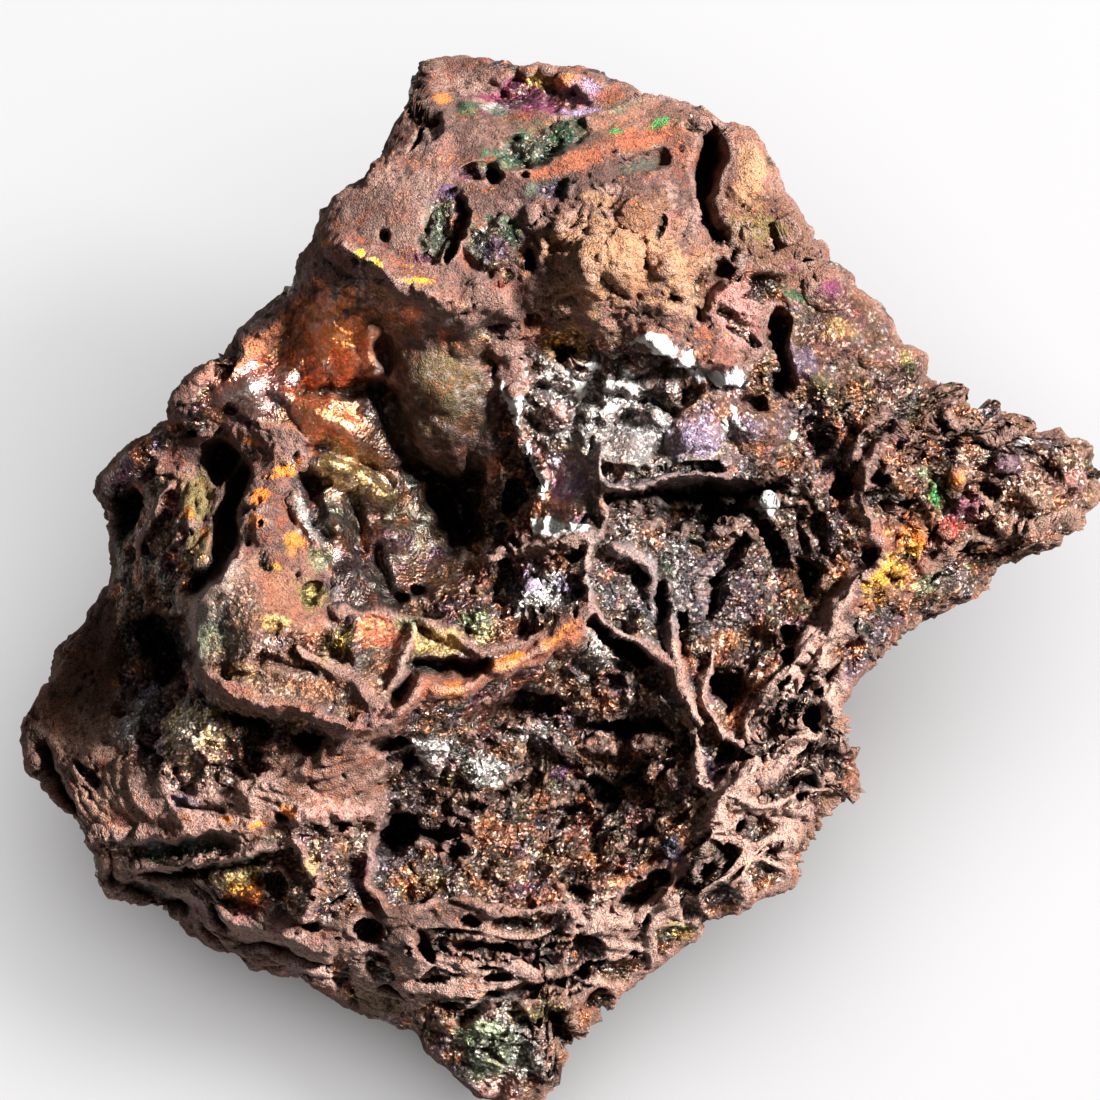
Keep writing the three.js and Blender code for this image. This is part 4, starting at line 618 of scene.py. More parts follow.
    ("purple", -34, -17.6, 2.4, 1.4, 0, 0.35), ("purple", -30.6, -19.8, 2, 0.8, 0, 0.4),
    ("rust", -26.4, -19.4, 2.6, 0.7, -10, 0.4), ("rust", -31, -20, 10, 4, -8, 0.35),
    ("rust", -19, -18, 7, 4, 20, 0.35), ("brown", -20, -18, 8, 5, 10, 0.4),
    ("orange", -28.6, -20.9, 0.9, 0.35, -8, 0.7), ("orange", -33.4, -19.6, 0.5, 0.3, 0, 0.6),
    ("orange", -23.6, -17.2, 0.4, 0.3, 0, 0.6),
    # the middle
    ("rust", -0.6, 16.4, 2, 1.4, 0, 0.6), ("orange", 0.4, 16.2, 0.9, 0.6, 0, 0.45),
    ("steel", 6, 10, 5, 3.4, 0, 0.5), ("grey", 4, 9.6, 7, 3.4, 0, 0.6),
    ("silver", 7, 8, 8, 5, 0, 0.2), ("purple", 1.6, 5.8, 2.3, 2.6, 0, 0.6),
    ("silver", 3.6, 12.4, 6, 3, 0, 0.65), ("ochre", 1, 16.2, 2, 1.6, 0, 0.45),
    ("lilac", 11.4, 9, 2.2, 1.9, 0, 0.6), ("brown", 16.4, 9.8, 2.4, 2.4, 0, 0.6),
    ("silver", 18, 3.4, 1.4, 1.6, 0, 0.7), ("red brown", 12.8, 15.2, 1.6, 1.3, 0, 0.6),
    ("pink", 0.6, 11, 1.6, 1, 0, 0.55), ("steel", 11, 4, 9, 3, 5, 0.85),
    ("dark brown", 10, 3, 8, 2.8, 5, 0.7), ("grey", 8, 6.7, 5, 0.6, 3, 0.5),
    ("red brown", 7, -3, 0.8, 1.2, 0, 0.6), ("silver", 4.4, -7.8, 1.8, 1.5, 0, 0.7),
    ("tan", 4.8, -7.4, 1, 0.8, 0, 0.4), ("brown", 19.6, 3, 3, 2.4, 0, 0.7),
    ("steel", 11, -3, 7, 4.4, 0, 0.8), ("grey", 7, -3, 6, 5, 0, 0.45),
    ("green", 3, 16.8, 0.6, 0.5, 0, 0.4), ("lilac", 15.4, 9.4, 1.6, 1.2, 0, 0.5),
    ("green", 9.4, -1.6, 0.9, 1, 0, 0.4), ("steel", 18, 9.6, 3, 1.6, 0, 0.5),
    # the drusy hollow
    ("dark brown", -3, -20, 13, 7, -6, 0.65), ("dark brown", -10, -24, 4, 4.4, 0, 0.5),
    ("dark brown", 7, -15, 5, 4.4, 0, 0.5), ("dark brown", 18, 1, 4.4, 8, 0, 0.5),
    ("red brown", -3.4, -12.4, 3.2, 1.4, 0, 0.7), ("silver", -9, -16.4, 2.2, 1.7, 0, 0.8),
    ("pink", -8.2, -17.2, 1.2, 0.9, 0, 0.4), ("silver", -5, -17.5, 1.8, 1.3, 0, 0.8),
    ("purple", 0.8, -17.8, 1.2, 0.9, 0, 0.6), ("red brown", 2, -22.4, 2.2, 1.4, 0, 0.6),
    ("bronze", 1.6, -25, 3.6, 1.1, 0, 0.6), ("orange", 3.4, -24.8, 1.2, 0.7, 0, 0.25),
    ("gold", -19.4, -25, 0.7, 2, -15, 0.5), ("tan", -16.8, -23.4, 0.7, 1.4, 0, 0.6),
    ("magenta", -15.2, -25.5, 0.9, 1.6, 0, 0.55), ("pink", -16.8, -20.6, 3, 0.6, 8, 0.5),
    ("bronze", -1, -20.4, 3.6, 1.6, 0, 0.5), ("copper", -4.4, -22.6, 2.4, 1.2, 0, 0.25),
    ("bronze", -6.4, -27, 2.6, 1.2, 0, 0.5), ("silver", -1.4, -14.8, 1.6, 0.8, 0, 0.5),
    ("pink", 6.4, -20.8, 1.4, 1, 0, 0.4), ("steel", 8, -13, 2.4, 2, 0, 0.5),
    ("bronze", 8, -18.4, 1.6, 1.6, 0, 0.5), ("steel", -12.8, -24, 2, 2.4, 0, 0.7),
    # The two pale shell patches below are partly paler skin, partly painted light lifting shade.
    ("pale", -29, -18.6, 13, 4.4, -8, 0.7), ("pale", -27, -27, 10, 5, -10, 0.75),
    ("tan", -37.6, -14, 4.4, 8, 20, 0.35),
    # the shell's lower edge
    ("orange", -20.6, -20.8, 0.6, 0.45, 0, 0.8), ("orange", -23.2, -21.8, 0.8, 0.35, 0, 0.8),
    ("orange", -25.6, -21, 0.5, 0.3, 0, 0.7), ("blue", -28.6, -19.8, 1.6, 0.5, -15, 0.6),
    ("teal", -29.4, -23.5, 3.6, 0.8, 8, 0.9), ("green", -27, -23.2, 1.6, 0.6, 8, 0.6),
    ("bright green", -31.6, -24.3, 0.7, 0.3, 0, 0.9), ("teal", -30.6, -26.2, 1.8, 0.4, 8, 0.8),
    ("green", -25, -25, 2.4, 0.5, 15, 0.8), ("gold", -24.8, -26.2, 2, 1, 0, 1),
    ("yellow", -24.6, -26.8, 1.4, 0.8, 0, 0.5), ("orange", -24, -27.4, 2, 1.2, 0, 0.9),
    ("red", -24.2, -28.2, 1.5, 0.8, 0, 0.6), ("pink", -24.8, -28.9, 1, 0.5, 0, 0.7),
    ("dark matte", -32, -28.6, 4, 1.4, -25, 0.6), ("pink", -22, -30.3, 1.2, 0.7, 0, 0.5),
    ("green", -33, -29.6, 1.6, 0.6, -30, 0.4), ("magenta", -28.4, -29.4, 0.8, 0.5, 0, 0.4),
    # the arm
    ("tan", 36, 4, 9, 4, 8, 0.5), ("pale", 38, 5, 8, 4, 8, 0.35), ("rust", 29, 1, 3, 5, -20, 0.5),
    ("bright green", 31.2, 4.6, 1.1, 1, 0, 0.95), ("orange", 32.4, 5.4, 1.1, 0.9, 0, 0.9),
    ("magenta", 33.4, 3.4, 1.5, 1.2, 0, 0.9), ("red", 32, 1.8, 1.3, 1, 0, 0.8),
    ("orange", 28.6, 0.8, 1.6, 1.4, 0, 0.9), ("ochre", 27.6, -2, 2.6, 1.4, 50, 0.9),
    ("purple", 37, 7, 1.6, 1.1, 0, 0.6), ("pale green", 30.6, -2.8, 1.6, 0.8, 20, 0.6),
    ("pink", 42.4, 5.6, 1.8, 1.2, 0, 0.7), ("rust", 34.6, 2.2, 1.2, 0.8, 0, 0.5),
    ("bright green", 30.2, 6.2, 0.6, 0.6, 0, 0.5), ("yellow", 29.4, -0.6, 0.8, 0.5, 0, 0.5),
    ("grey", 33.6, -2.8, 2.4, 1.4, 0, 0.6), ("rust", 30.4, 9.8, 1, 0.7, 0, 0.5),
    ("brown", 24, -22, 2.4, 5, -20, 0.6), ("orange", 22.4, -23, 0.9, 1.8, -30, 0.45),
    ("rust", 24.2, -18.4, 0.9, 1.4, 0, 0.5),
    # the lace
    ("green", 21, -18.4, 0.8, 0.6, 0, 0.4), ("green", 12.6, -25.4, 0.8, 0.6, 0, 0.45),
    ("green", 11.8, -23.4, 0.7, 0.6, 0, 0.4), ("blue", 9.6, -24.2, 1, 1.4, 0, 0.5),
    ("pale", 20, -14, 4.4, 5, 0, 0.45), ("pale", 15, -21, 4, 3.4, 0, 0.4),
    ("pale", 4.4, -28.4, 4, 2, 0, 0.5), ("olive", 10.2, -30.8, 1.8, 0.9, 0, 0.7),
    ("ochre", 10.8, -31.2, 0.9, 0.4, 0, 0.4),
    # the foot
    ("dark brown", -12, -30, 6, 3, 0, 0.5), ("silver", -4.4, -40, 3.6, 4, 0, 0.5),
    ("pale green", -5.4, -38.6, 2.4, 1.4, 0, 0.8), ("pale green", -4.4, -41.4, 2.6, 2.2, 0, 0.7),
    ("green", -3.4, -39.6, 1.4, 0.8, 0, 0.6), ("olive", -1, -37.6, 2.2, 0.9, 10, 0.7),
    ("pink", -4, -43.6, 2, 1.2, 0, 0.8), ("silver", -1.8, -41.6, 1.6, 1.4, 0, 0.7),
    ("orange", -8, -36.6, 0.5, 0.3, 0, 0.8), ("orange", -5.6, -35.8, 0.4, 0.3, 0, 0.7),
    ("orange", -3, -35.6, 0.4, 0.3, 0, 0.7), ("olive", -13.6, -37, 2.4, 0.8, -20, 0.45),
    ("brown", 2.6, -38, 2.2, 1.4, 0, 0.5), ("gold", -9.6, -26.6, 1.4, 0.8, 0, 0.3),
    ("brown", -1.6, -43, 1.8, 2.2, 0, 0.4),
]

# White chalky crust: blobs (u, v, half-width, half-height, turn) and runs with a half-width.
CHALK_BLOBS = [
    (9.2, 15.7, 1.6, 0.7, -20), (10.4, 14.5, 0.8, 1.2, -20), (11.4, 13.5, 1.2, 0.5, -10),
    (13.4, 13.6, 1.4, 0.45, 20), (14.7, 14.3, 0.5, 0.5, 0), (7.8, 16.4, 1.1, 0.35, 0),
    (0.2, 2.1, 2.7, 0.75, -8), (2.2, 1.8, 0.9, 0.8, 0), (2.4, 12.6, 0.8, 0.8, 0),
    (3.2, 14.8, 0.7, 0.5, 0), (5, 13.3, 0.8, 0.5, 0), (6.6, 13.2, 0.6, 0.5, 0),
    (4.6, 11, 0.6, 0.4, 0), (17.8, 3.9, 0.8, 1, -20), (19.4, 8.6, 0.5, 0.4, 0),
    (38, 8.6, 0.5, 0.4, 0), (-2.6, 11.4, 0.4, 0.7, 0), (6, 14.6, 0.4, 0.3, 0),
    (1.6, 13.8, 0.3, 0.5, 0),
]
CHALK_RUNS = [
    ([(-3.8, 13), (-3, 11.6), (-2.6, 10)], 0.22), ([(-2, 8), (-1, 6), (-0.4, 4.4)], 0.22),
    ([(14.4, 11), (14.8, 10), (15.4, 9.4)], 0.25), ([(13.6, 10), (14, 9.2)], 0.22),
    ([(11.6, 13.6), (13.4, 12.9), (14.8, 14.2)], 0.3),
]

# Films over the crystals: colour, reach and offset of the noise that spreads it, the levels
# between which it comes in, and strength.
FILMS = [
    ("steel", 3.0, 2.2, -0.2, 0.35, 0.8), ("red brown", 3.4, 71.3, 0.0, 0.5, 0.5),
    ("copper", 2.4, 33.3, 0.2, 0.6, 0.6), ("tan", 1.8, 6.1, 0.3, 0.7, 0.4),
    ("purple", 2.2, 44.1, 0.22, 0.6, 0.5), ("green", 2.0, 51.7, 0.28, 0.65, 0.5),
]

# ---------------------------------------------------------------- noise and soft shapes

CHANCE = np.random.default_rng(11)
LATTICE = np.tile(CHANCE.permutation(256), 3)
SLOPES = CHANCE.normal(size=(256, 3))
SLOPES /= np.linalg.norm(SLOPES, axis=1)[:, None]
SEEDS = CHANCE.random((256, 3))
SLOPE_AXES = np.ascontiguousarray(SLOPES.T)
SEED_AXES = np.ascontiguousarray(SEEDS.T)

# What brings the noise to between about -1 and 1, and a squared distance past every seed.
SWELL_GAIN = 1.6
FAR = 81.0

# How many points a noise works through at a time.
BLOCK = 8192


def in_blocks(noise):
    """Has a noise work through its points block by block, which is quicker over many."""
    def blocked(points, size, offset):
        starts = range(0, len(points), BLOCK)
        parts = [noise(points[start:start + BLOCK], size, offset) for start in starts]
        return np.concatenate(parts, axis=-1)
    return blocked


def in_cells(points, size, offset):
    """Points measured in a lattice's own cells, one row to an axis, and the cells they are in."""
    scaled = np.ascontiguousarray((points / size + offset).T)
    return scaled, np.floor(scaled)


def numbered(cell, steps):
    """Each corner or neighbour of the cells, as its steps along the axes, with the fixed
    chance number that every cell has there."""
    i, j, k = cell.astype(np.int64)
    for di in steps:
        across = LATTICE[(i + di) & 255]
        for dj in steps:
            up = LATTICE[across + ((j + dj) & 255)]
            for dk in steps:
                yield (di, dj, dk), LATTICE[up + ((k + dk) & 255)]


@in_blocks
def swell(points, reach, offset):
    """Smooth noise between about -1 and 1, whose waves are about twice the reach long."""
    scaled, cell = in_cells(points, reach, offset)
    part = scaled - cell
    ease = part * part * part * (part * (part * 6 - 15) + 10)
    shares = (1 - ease, ease)
    parts = (part, part - 1)
    total = np.zeros(len(points))
    for (di, dj, dk), number in numbered(cell, (0, 1)):
        slope_x, slope_y, slope_z = SLOPE_AXES.take(number, axis=1)
        slant = parts[di][0] * slope_x + parts[dj][1] * slope_y + parts[dk][2] * slope_z
        total += shares[di][0] * shares[dj][1] * shares[dk][2] * slant
    return total * SWELL_GAIN


def seed_gaps(scaled, cell):
    """For each neighbour in turn: its chance number, the way from its seed to each point, and
    that way's squared length."""
    for (di, dj, dk), number in numbered(cell, (-1, 0, 1)):
        seed_x, seed_y, seed_z = SEED_AXES.take(number, axis=1)
        x = scaled[0] - (cell[0] + di) - seed_x
        y = scaled[1] - (cell[1] + dj) - seed_y
        z = scaled[2] - (cell[2] + dk) - seed_z
        yield number, (x, y, z), x * x + y * y + z * z


@in_blocks
def scatter_cells(points, size, offset):
    """Distances to the nearest and second nearest of scattered seeds, in cells, and the
    nearest seed's own number between 0 and 1."""
    near = np.full(len(points), FAR)
    second = near.copy()
    own = np.zeros(len(points))
    for number, _, gap in seed_gaps(*in_cells(points, size, offset)):
        closer = gap < near
        second = np.where(closer, near, np.minimum(second, gap))
        near = np.where(closer, gap, near)
        own = np.where(closer, number, own)
    return np.stack([np.sqrt(near), np.sqrt(second), own / 255])


@in_blocks
def facets(points, size, offset):
    """Flat cells that each lean their own way and meet in small steps: their height."""
    near = np.full(len(points), FAR)
    lean = np.zeros(len(points))
    for number, (x, y, z), gap in seed_gaps(*in_cells(points, size, offset)):
        closer = gap < near
        slope_x, slope_y, slope_z = SLOPE_AXES.take(number, axis=1)
        near = np.where(closer, gap, near)
        lean = np.where(closer, x * slope_x + y * slope_y + z * slope_z, lean)
    return lean * size


def ramp(x, low, high):
    """Rises smoothly from 0 at low to 1 at high."""
    share = np.clip((x - low) / (high - low), 0, 1)
    return share * share * (3 - 2 * share)


def dish(distance):
    """A cosine-edged bowl: 1 in the middle, 0 from the edge outwards."""
    return 0.5 + 0.5 * np.cos(np.pi * np.minimum(distance, 1))


def pit(distance):
    """A steep-walled bowl with a nearly flat floor."""
    return 1 - ramp(distance, 0.55, 1.05)


def dome(distance):
    """A rounded lump with a crisp foot."""
    return np.sqrt(np.maximum(0, 1 - distance * distance))


def run_distance(u, v, run):
    """Distance from each point to a run of straight stretches."""
    nearest = np.full(len(u), 1e3)
    for (u0, v0), (u1, v1) in zip(run, run[1:]):
        du, dv = u1 - u0, v1 - v0
        share = np.clip(((u - u0) * du + (v - v0) * dv) / (du * du + dv * dv), 0, 1)
        nearest = np.minimum(nearest, np.hypot(u - u0 - share * du, v - v0 - share * dv))
    return nearest


def inside_distance(u, v, outline):
    """Distance from a closed outline, above 0 inside it."""
    closed = outline + outline[:1]
    edge = run_distance(u, v, closed)
    inside = np.zeros(len(u), dtype=bool)
    for (u0, v0), (u1, v1) in zip(closed, closed[1:]):
        if v0 == v1:
            continue
        crosses = (v0 > v) != (v1 > v)
        inside ^= crosses & (u < (u1 - u0) * (v - v0) / (v1 - v0) + u0)
    return np.where(inside, edge, -edge)


def close_to(u, v, at_u, at_v, reach):
    """Indices of the points in the square around a place."""
    near = np.flatnonzero(np.abs(u - at_u) < reach)
    return near[np.abs(v[near] - at_v) < reach]


def near_oval(u, v, oval, spread):
    """Indices of the points around an oval, and how far out each is: 0 in the oval's middle
    and 1 on its edge. The spread is how far around it is looked, in its half-sizes."""
    at_u, at_v, half_wide, half_high, turn = oval
    near = close_to(u, v, at_u, at_v, spread * max(half_wide, half_high))
    angle = math.radians(turn)
    du = u[near] - at_u
    dv = v[near] - at_v
    along = du * math.cos(angle) + dv * math.sin(angle)
    across = dv * math.cos(angle) - du * math.sin(angle)
    return near, np.hypot(along / half_wide, across / half_high)


def run_box(run):
    """The middle and half-size of a run's square."""
    us, vs = zip(*run)
    middle = ((min(us) + max(us)) / 2, (min(vs) + max(vs)) / 2)
    return middle, max(max(us) - min(us), max(vs) - min(vs)) / 2


def near_run(u, v, run, wide):
    """Indices of the points around a run, and their distances from it in its half-widths."""
    (mid_u, mid_v), reach = run_box(run)
    near = close_to(u, v, mid_u, mid_v, reach + 3 * wide)
    return near, run_distance(u[near], v[near], run) / wide


# ---------------------------------------------------------------- the face's relief

def stirred(u, v):
    """Places wandered a little, so that no hollow or ridge has a ruled edge."""
    flat = np.stack([u, v, np.zeros(len(u))], axis=1)
    for reach, size in ((5.0, 0.7), (1.7, 0.3), (0.7, 0.12)):
        u = u + size * swell(flat, reach, 3.1)
        v = v + size * swell(flat, reach, 8.7)
    return u, v


def spot_height(u, v):
    weights = np.full(len(u), 1e-9)
    total = np.zeros(len(u))
    for at_u, at_v, height in sum(SPOTS.values(), []):
        near = close_to(u, v, at_u, at_v, 4 * SPOT_REACH)
        gap2 = (u[near] - at_u) ** 2 + (v[near] - at_v) ** 2
        weight = np.exp(-gap2 / (2 * SPOT_REACH ** 2))
        weights[near] += weight
        total[near] += weight * height
    return total / weights


def zone_share(u, v, name, softness):
    """How far each point belongs to a zone of the face, from 0 to 1."""
    share = np.zeros(len(u))
    for outline in ZONES[name]:
        (mid_u, mid_v), reach = run_box(outline)
        near = close_to(u, v, mid_u, mid_v, reach + 2 * softness)
        depth = inside_distance(u[near], v[near], outline)
        share[near] = np.maximum(share[near], ramp(depth, -softness, softness))
    return share


def face_height(u, v):
    su, sv = stirred(u, v)
    height = RELIEF * spot_height(su, sv)
    ragged = 0.26 * swell(np.stack([su, sv, np.zeros(len(su))], axis=1), 1.3, 35.0)
    for *oval, depth in HOLLOWS:
        near, away = near_oval(su, sv, oval, OVAL_SPREAD)
        away += ragged[near]
        height[near] -= HOLLOW_RELIEF * depth * (0.4 * dish(away) + 0.6 * pit(away))
    for *oval, tall in LUMPS:
        near, away = near_oval(su, sv, oval, OVAL_SPREAD)
        height[near] += tall * (0.65 * dish(away) + 0.35 * dome(away))
    crest = np.zeros(len(u))
    for run, wide, tall, _ in RIDGES:
        near, away = near_run(su, sv, run, wide)
        lift = tall * (1 - np.minimum(away / RUN_SPREAD, 1)) ** 1.1
        crest[near] = np.maximum(crest[near], lift)
    height += crest
    for run, wide, depth in CRACKS:
        near, away = near_run(su, sv, run, wide)
        height[near] -= HOLLOW_RELIEF * depth * (1 - ramp(away / RUN_SPREAD, 0.2, 1))
    for run, band, pitch, tall in LAYERS:
        away = run_distance(su, sv, run)
        fade = 1 - ramp(away, 0.6 * band, band)
        height += tall * fade * np.sin(2 * np.pi * away / pitch)
    return height


# ---------------------------------------------------------------- the stone's body

def frame_to_stone(u, v, w):
    """Turns the leaning face frame into the standing one."""
    y = v * math.cos(FACE_TILT) - w * math.sin(FACE_TILT)
    z = v * math.sin(FACE_TILT) + w * math.cos(FACE_TILT)
    return np.stack([u, y, FACE_HEIGHT + z], axis=1)


def stone_to_frame(points):
    """Turns the standing frame back into the leaning face frame."""
    y = points[:, 1]
    z = points[:, 2] - FACE_HEIGHT
    v = y * math.cos(FACE_TILT) + z * math.sin(FACE_TILT)
    w = z * math.cos(FACE_TILT) - y * math.sin(FACE_TILT)
    return points[:, 0], v, w


def rim_table():
    """The outline as its distance from the face's centre along each bearing."""
    across = np.array([u for u, _ in OUTLINE]) - FACE_CENTRE[0]
    up = np.array([v for _, v in OUTLINE]) - FACE_CENTRE[1]
    bearing = np.arctan2(up, across)
    order = np.argsort(bearing)
    return bearing[order], np.hypot(across, up)[order]


RIM_BEARING, RIM_RADIUS = rim_table()


def rim_radius(bearing):
    return np.interp(bearing, RIM_BEARING, RIM_RADIUS, period=2 * math.pi)


def eased_radius(bearing):
    """The rim's distance averaged over the bearings around each."""
    turns = np.radians(np.linspace(-12, 12, 9))
    return sum(rim_radius(bearing + turn) for turn in turns) / len(turns)


def face_points(bearing, reach):
    eased = eased_radius(bearing)
    radius = eased + (rim_radius(bearing) - eased) * ramp(reach, 0.7, 1.0)
    u = FACE_CENTRE[0] + radius * reach * np.cos(bearing)
    v = FACE_CENTRE[1] + radius * reach * np.sin(bearing)
    round_off = 1 - (1 - np.minimum(reach, 1) ** EDGE_ROUNDNESS) ** (1 / EDGE_ROUNDNESS)
    return frame_to_stone(u, v, face_height(u, v) - EDGE_DROP * round_off)


def base_points(bearing, reach):
    waver = 1 + BASE_WAVER * np.sin(3 * bearing + 1) + BASE_WAVER * np.sin(5 * bearing) / 2
    x = BASE_CENTRE[0] + BASE_RADII[0] * waver * reach * np.cos(bearing)
    y = BASE_CENTRE[1] + BASE_RADII[1] * waver * reach * np.sin(bearing)
    return np.stack([x, y, np.full(len(x), -float(BASE_SUNK))], axis=1)


def side_points(bearing, share):
    top = face_points(bearing, np.full(len(bearing), 1.0))
    foot = base_points(bearing, 1)
    power = np.interp(np.degrees(bearing), *zip(*UNDERCUTS))
    tuck = (share ** power)[:, None]
    points = top + (foot - top) * tuck
    points[:, 2] = top[:, 2] + (foot[:, 2] - top[:, 2]) * share
    return points


def side_relief(points, share):
    """Moves side points level with the ground: in for pockets, out for knobs and lumps."""
    outward = points - np.array([BASE_CENTRE[0], BASE_CENTRE[1], 0])
    outward[:, 2] = 0
    outward /= np.linalg.norm(outward, axis=1)[:, None]
    move = np.zeros(len(points))
    for bearing, down, radius, depth in SIDE_POCKETS:
        turned = math.radians(bearing - 360 if bearing > 180 else bearing)
        centre = side_points(np.array([turned]), np.array([down]))
        move -= depth * dish(np.linalg.norm(points - centre, axis=1) / radius)
    move += 2.2 * swell(points, 7.0, 5.9) + 1.2 * swell(points, 3.2, 2.3)
    fade = ramp(share, 0, 0.12) * (1 - 0.6 * share)
    return points + outward * (move * fade)[:, None]


def stone_points(directions):
    """Where each direction of the ball the stone is made from lands on the stone. The ball's
    area is shared between the face, the side and the base."""
    bearing = np.arctan2(directions[:, 1], directions[:, 0])
    from_top = (1 - directions[:, 2]) / 2
    down = (from_top - FACE_SHARE) / SIDE_SHARE
    points = np.empty_like(directions)
    face = down <= 0
    even = np.sqrt(from_top[face] / FACE_SHARE)
    points[face] = face_points(bearing[face], 1 - (1 - even) ** EDGE_CROWDING)
    side = (down > 0) & (down <= 1)
    points[side] = side_relief(side_points(bearing[side], down[side]), down[side])
    base = down > 1
    left = (1 - from_top[base]) / (1 - FACE_SHARE - SIDE_SHARE)
    points[base] = base_points(bearing[base], np.sqrt(np.maximum(left, 0)))
    return points


def rim_reach(u, v):
    """How far out each point is, as a share of the way from the face's centre to the rim."""
    across = u - FACE_CENTRE[0]
    up = v - FACE_CENTRE[1]
    return np.hypot(across, up) / rim_radius(np.arctan2(up, across))


# ---------------------------------------------------------------- natures of the surface

def side_lining(points):
    """Where the sides are lined with crystals: in their pockets, in ragged patches."""
    ragged = swell(points, 5.0, 21.4) + 0.5 * swell(points, 2.0, 9.2)
    return ramp(ragged, 0.15, 0.5)


def along_the_rim(u, v, w):
    """Places where lengths that follow the rim count for a third, so that cells laid
    over them are drawn out along it."""
    bearing = np.arctan2(v - FACE_CENTRE[1], u - FACE_CENTRE[0])
    reach = np.hypot(u - FACE_CENTRE[0], v - FACE_CENTRE[1])
    return np.stack([9 * np.cos(bearing), 9 * np.sin(bearing), reach + 0.5 * w], axis=1)


def hole_depth(points, size, cover, offset):
    """The depth, in cells, of steep-walled holes in about the given share of the cells."""
    near, _, own = scatter_cells(points, size, offset)
    radius = 0.16 + 0.3 * own
    ragged = near + 0.16 * swell(points, 0.3 * size, offset)
    inside = 1 - ramp(ragged / radius, 0.6, 1.0)
    return inside * radius * (own > 1 - cover)


def open_holes(points, natures):
    """How deep the small holes of the surface are at each point, in millimetres."""
    u, v, w = stone_to_frame(points)
    around = wandered(along_the_rim(u, v, w), 2.0, 0.6, 2.9)
    matte = (1 - natures["lining"]) * (1 - natures["smooth"])
    patchy = ramp(swell(points, 4.0, 71.0), -0.2, 0.5)
    whole = (1 - 0.6 * natures["rim"]) * (1 - 0.8 * natures["rough"])
    whole = whole * (1 - 0.9 * natures["grainy"])
    cover = (matte * (0.03 + 0.2 * patchy) + natures["crumbly"] * 0.5) * whole
    rough = natures["lining"] * (1 - natures["satin"]) * 0.22 * whole
    wide = hole_depth(around, WIDE_HOLE, 0.8 * cover + rough, 13.7)
    middle = hole_depth(around, MIDDLE_HOLE, cover + rough, 31.1)
    fine = hole_depth(points, FINE_HOLE, cover, 47.9)
    depth = np.maximum(1.1 * WIDE_HOLE * wide, 1.3 * MIDDLE_HOLE * middle)
    depth = np.maximum(depth, 1.5 * FINE_HOLE * fine)
    near, second, own = scatter_cells(around, WIDE_MESH, 40.7)
    net = 1.6 * ramp(second - near, 0.08, 0.34) * ramp(own, 0.4, 0.6)
    near, second, own = scatter_cells(around, FINE_MESH, 21.3)
    net = np.maximum(net, 0.7 * ramp(second - near, 0.1, 0.3) * ramp(own, 0.5, 0.7))
    return np.maximum(depth, net * natures["lace"])


def chalk_share(points, su, sv):
    """Where the white crust lies, by the points' stirred places on the face."""
    ragged = 0.3 * swell(points, 0.8, 19.0) + 0.3 * swell(points, 0.35, 3.0)
    share = np.zeros(len(points))
    for oval in CHALK_BLOBS:
        near, away = near_oval(su, sv, oval, 1.2)
        share[near] = np.maximum(share[near], 1 - ramp(away + 1.5 * ragged[near], 0.6, 0.9))
    for run, wide in CHALK_RUNS:
        away = run_distance(su, sv, run) / wide
        share = np.maximum(share, 1 - ramp(away + 2.6 * ragged, 0.5, 1.2))
    return share


def surface_natures(points, normals):
    """Shares from 0 to 1 of each nature of the surface at each point, and the depth of its
    small holes."""
    u, v, w = stone_to_frame(points)
    su, sv = stirred(u, v)
    way_out = rim_reach(u, v)
    upper = 1 - ramp(RELIEF * spot_height(u, v) - w, *BELOW_FACE)
    on_face = (1 - ramp(way_out, *FACE_END)) * upper
    matte = zone_share(su, sv, "matte", 0.7)
    for run, wide, _, skin in RIDGES:
        near, away = near_run(su, sv, run, wide)
        cover = (1 - ramp(away, 0.4, 1.15)) * (0.25 if skin == "drusy" else 1)
        matte[near] = np.maximum(matte[near], cover)
    lined = np.zeros(len(u))
    # Painted shade laid into the hollows and cracks, more for deeper ones.
    hollow_shade = np.zeros(len(u))
    for *oval, depth in HOLLOWS:
        near, away = near_oval(su, sv, oval, OVAL_SPREAD)
        lined[near] = np.maximum(lined[near], 0.8 * (1 - ramp(away, 0.6, 0.95)))
        hollow_shade[near] = np.maximum(hollow_shade[near], (1 - ramp(away, 0.35, 0.95)) * min(1, depth / 4))
    for run, wide, depth in CRACKS:
        near, away = near_run(su, sv, run, wide)
        hollow_shade[near] = np.maximum(hollow_shade[near], (1 - ramp(away, 0.3, 1.2)) * min(1, depth / 3))
    face_lining = np.maximum(1 - matte, lined)
    lining = face_lining * on_face + side_lining(points) * (1 - on_face)
    crumbly = zone_share(su, sv, "crumbly", 1.2)
    grainy = zone_share(su, sv, "grainy", 0.6) * on_face
    upright = normals[:, 2] * math.cos(FACE_TILT) - normals[:, 1] * math.sin(FACE_TILT)
    natures = {
        "on_face": on_face,
        "hollow_shade": hollow_shade * on_face,
        "edge": 1 - (1 - ramp(way_out, *EDGE_BAND)) * upper,
        "rim": ramp(way_out, *RIM_BAND) * ramp(w, *BELOW_RIM) * (1 - crumbly),
        "lining": lining,
        "crumbly": np.maximum(crumbly, 0.3 * (1 - on_face)),
        "lace": zone_share(su, sv, "lace", 1.6) * on_face,
        "smooth": zone_share(su, sv, "smooth", 0.8) * on_face,
        "satin": zone_share(su, sv, "satin", 1.0) * on_face,
        "rough": zone_share(su, sv, "rough", 1.0) * on_face,
        "grainy": grainy,
        "wall": on_face * (1 - ramp(upright, 0.2, 0.7)),
        "chalk": chalk_share(points, su, sv) * on_face,
    }
    natures["holes"] = open_holes(points, natures) * (1 - 0.8 * natures["wall"])
    natures["lining"] = np.maximum(lining * (1 - 0.35 * grainy), ramp(natures["holes"], 0.1, 0.4))
    return natures


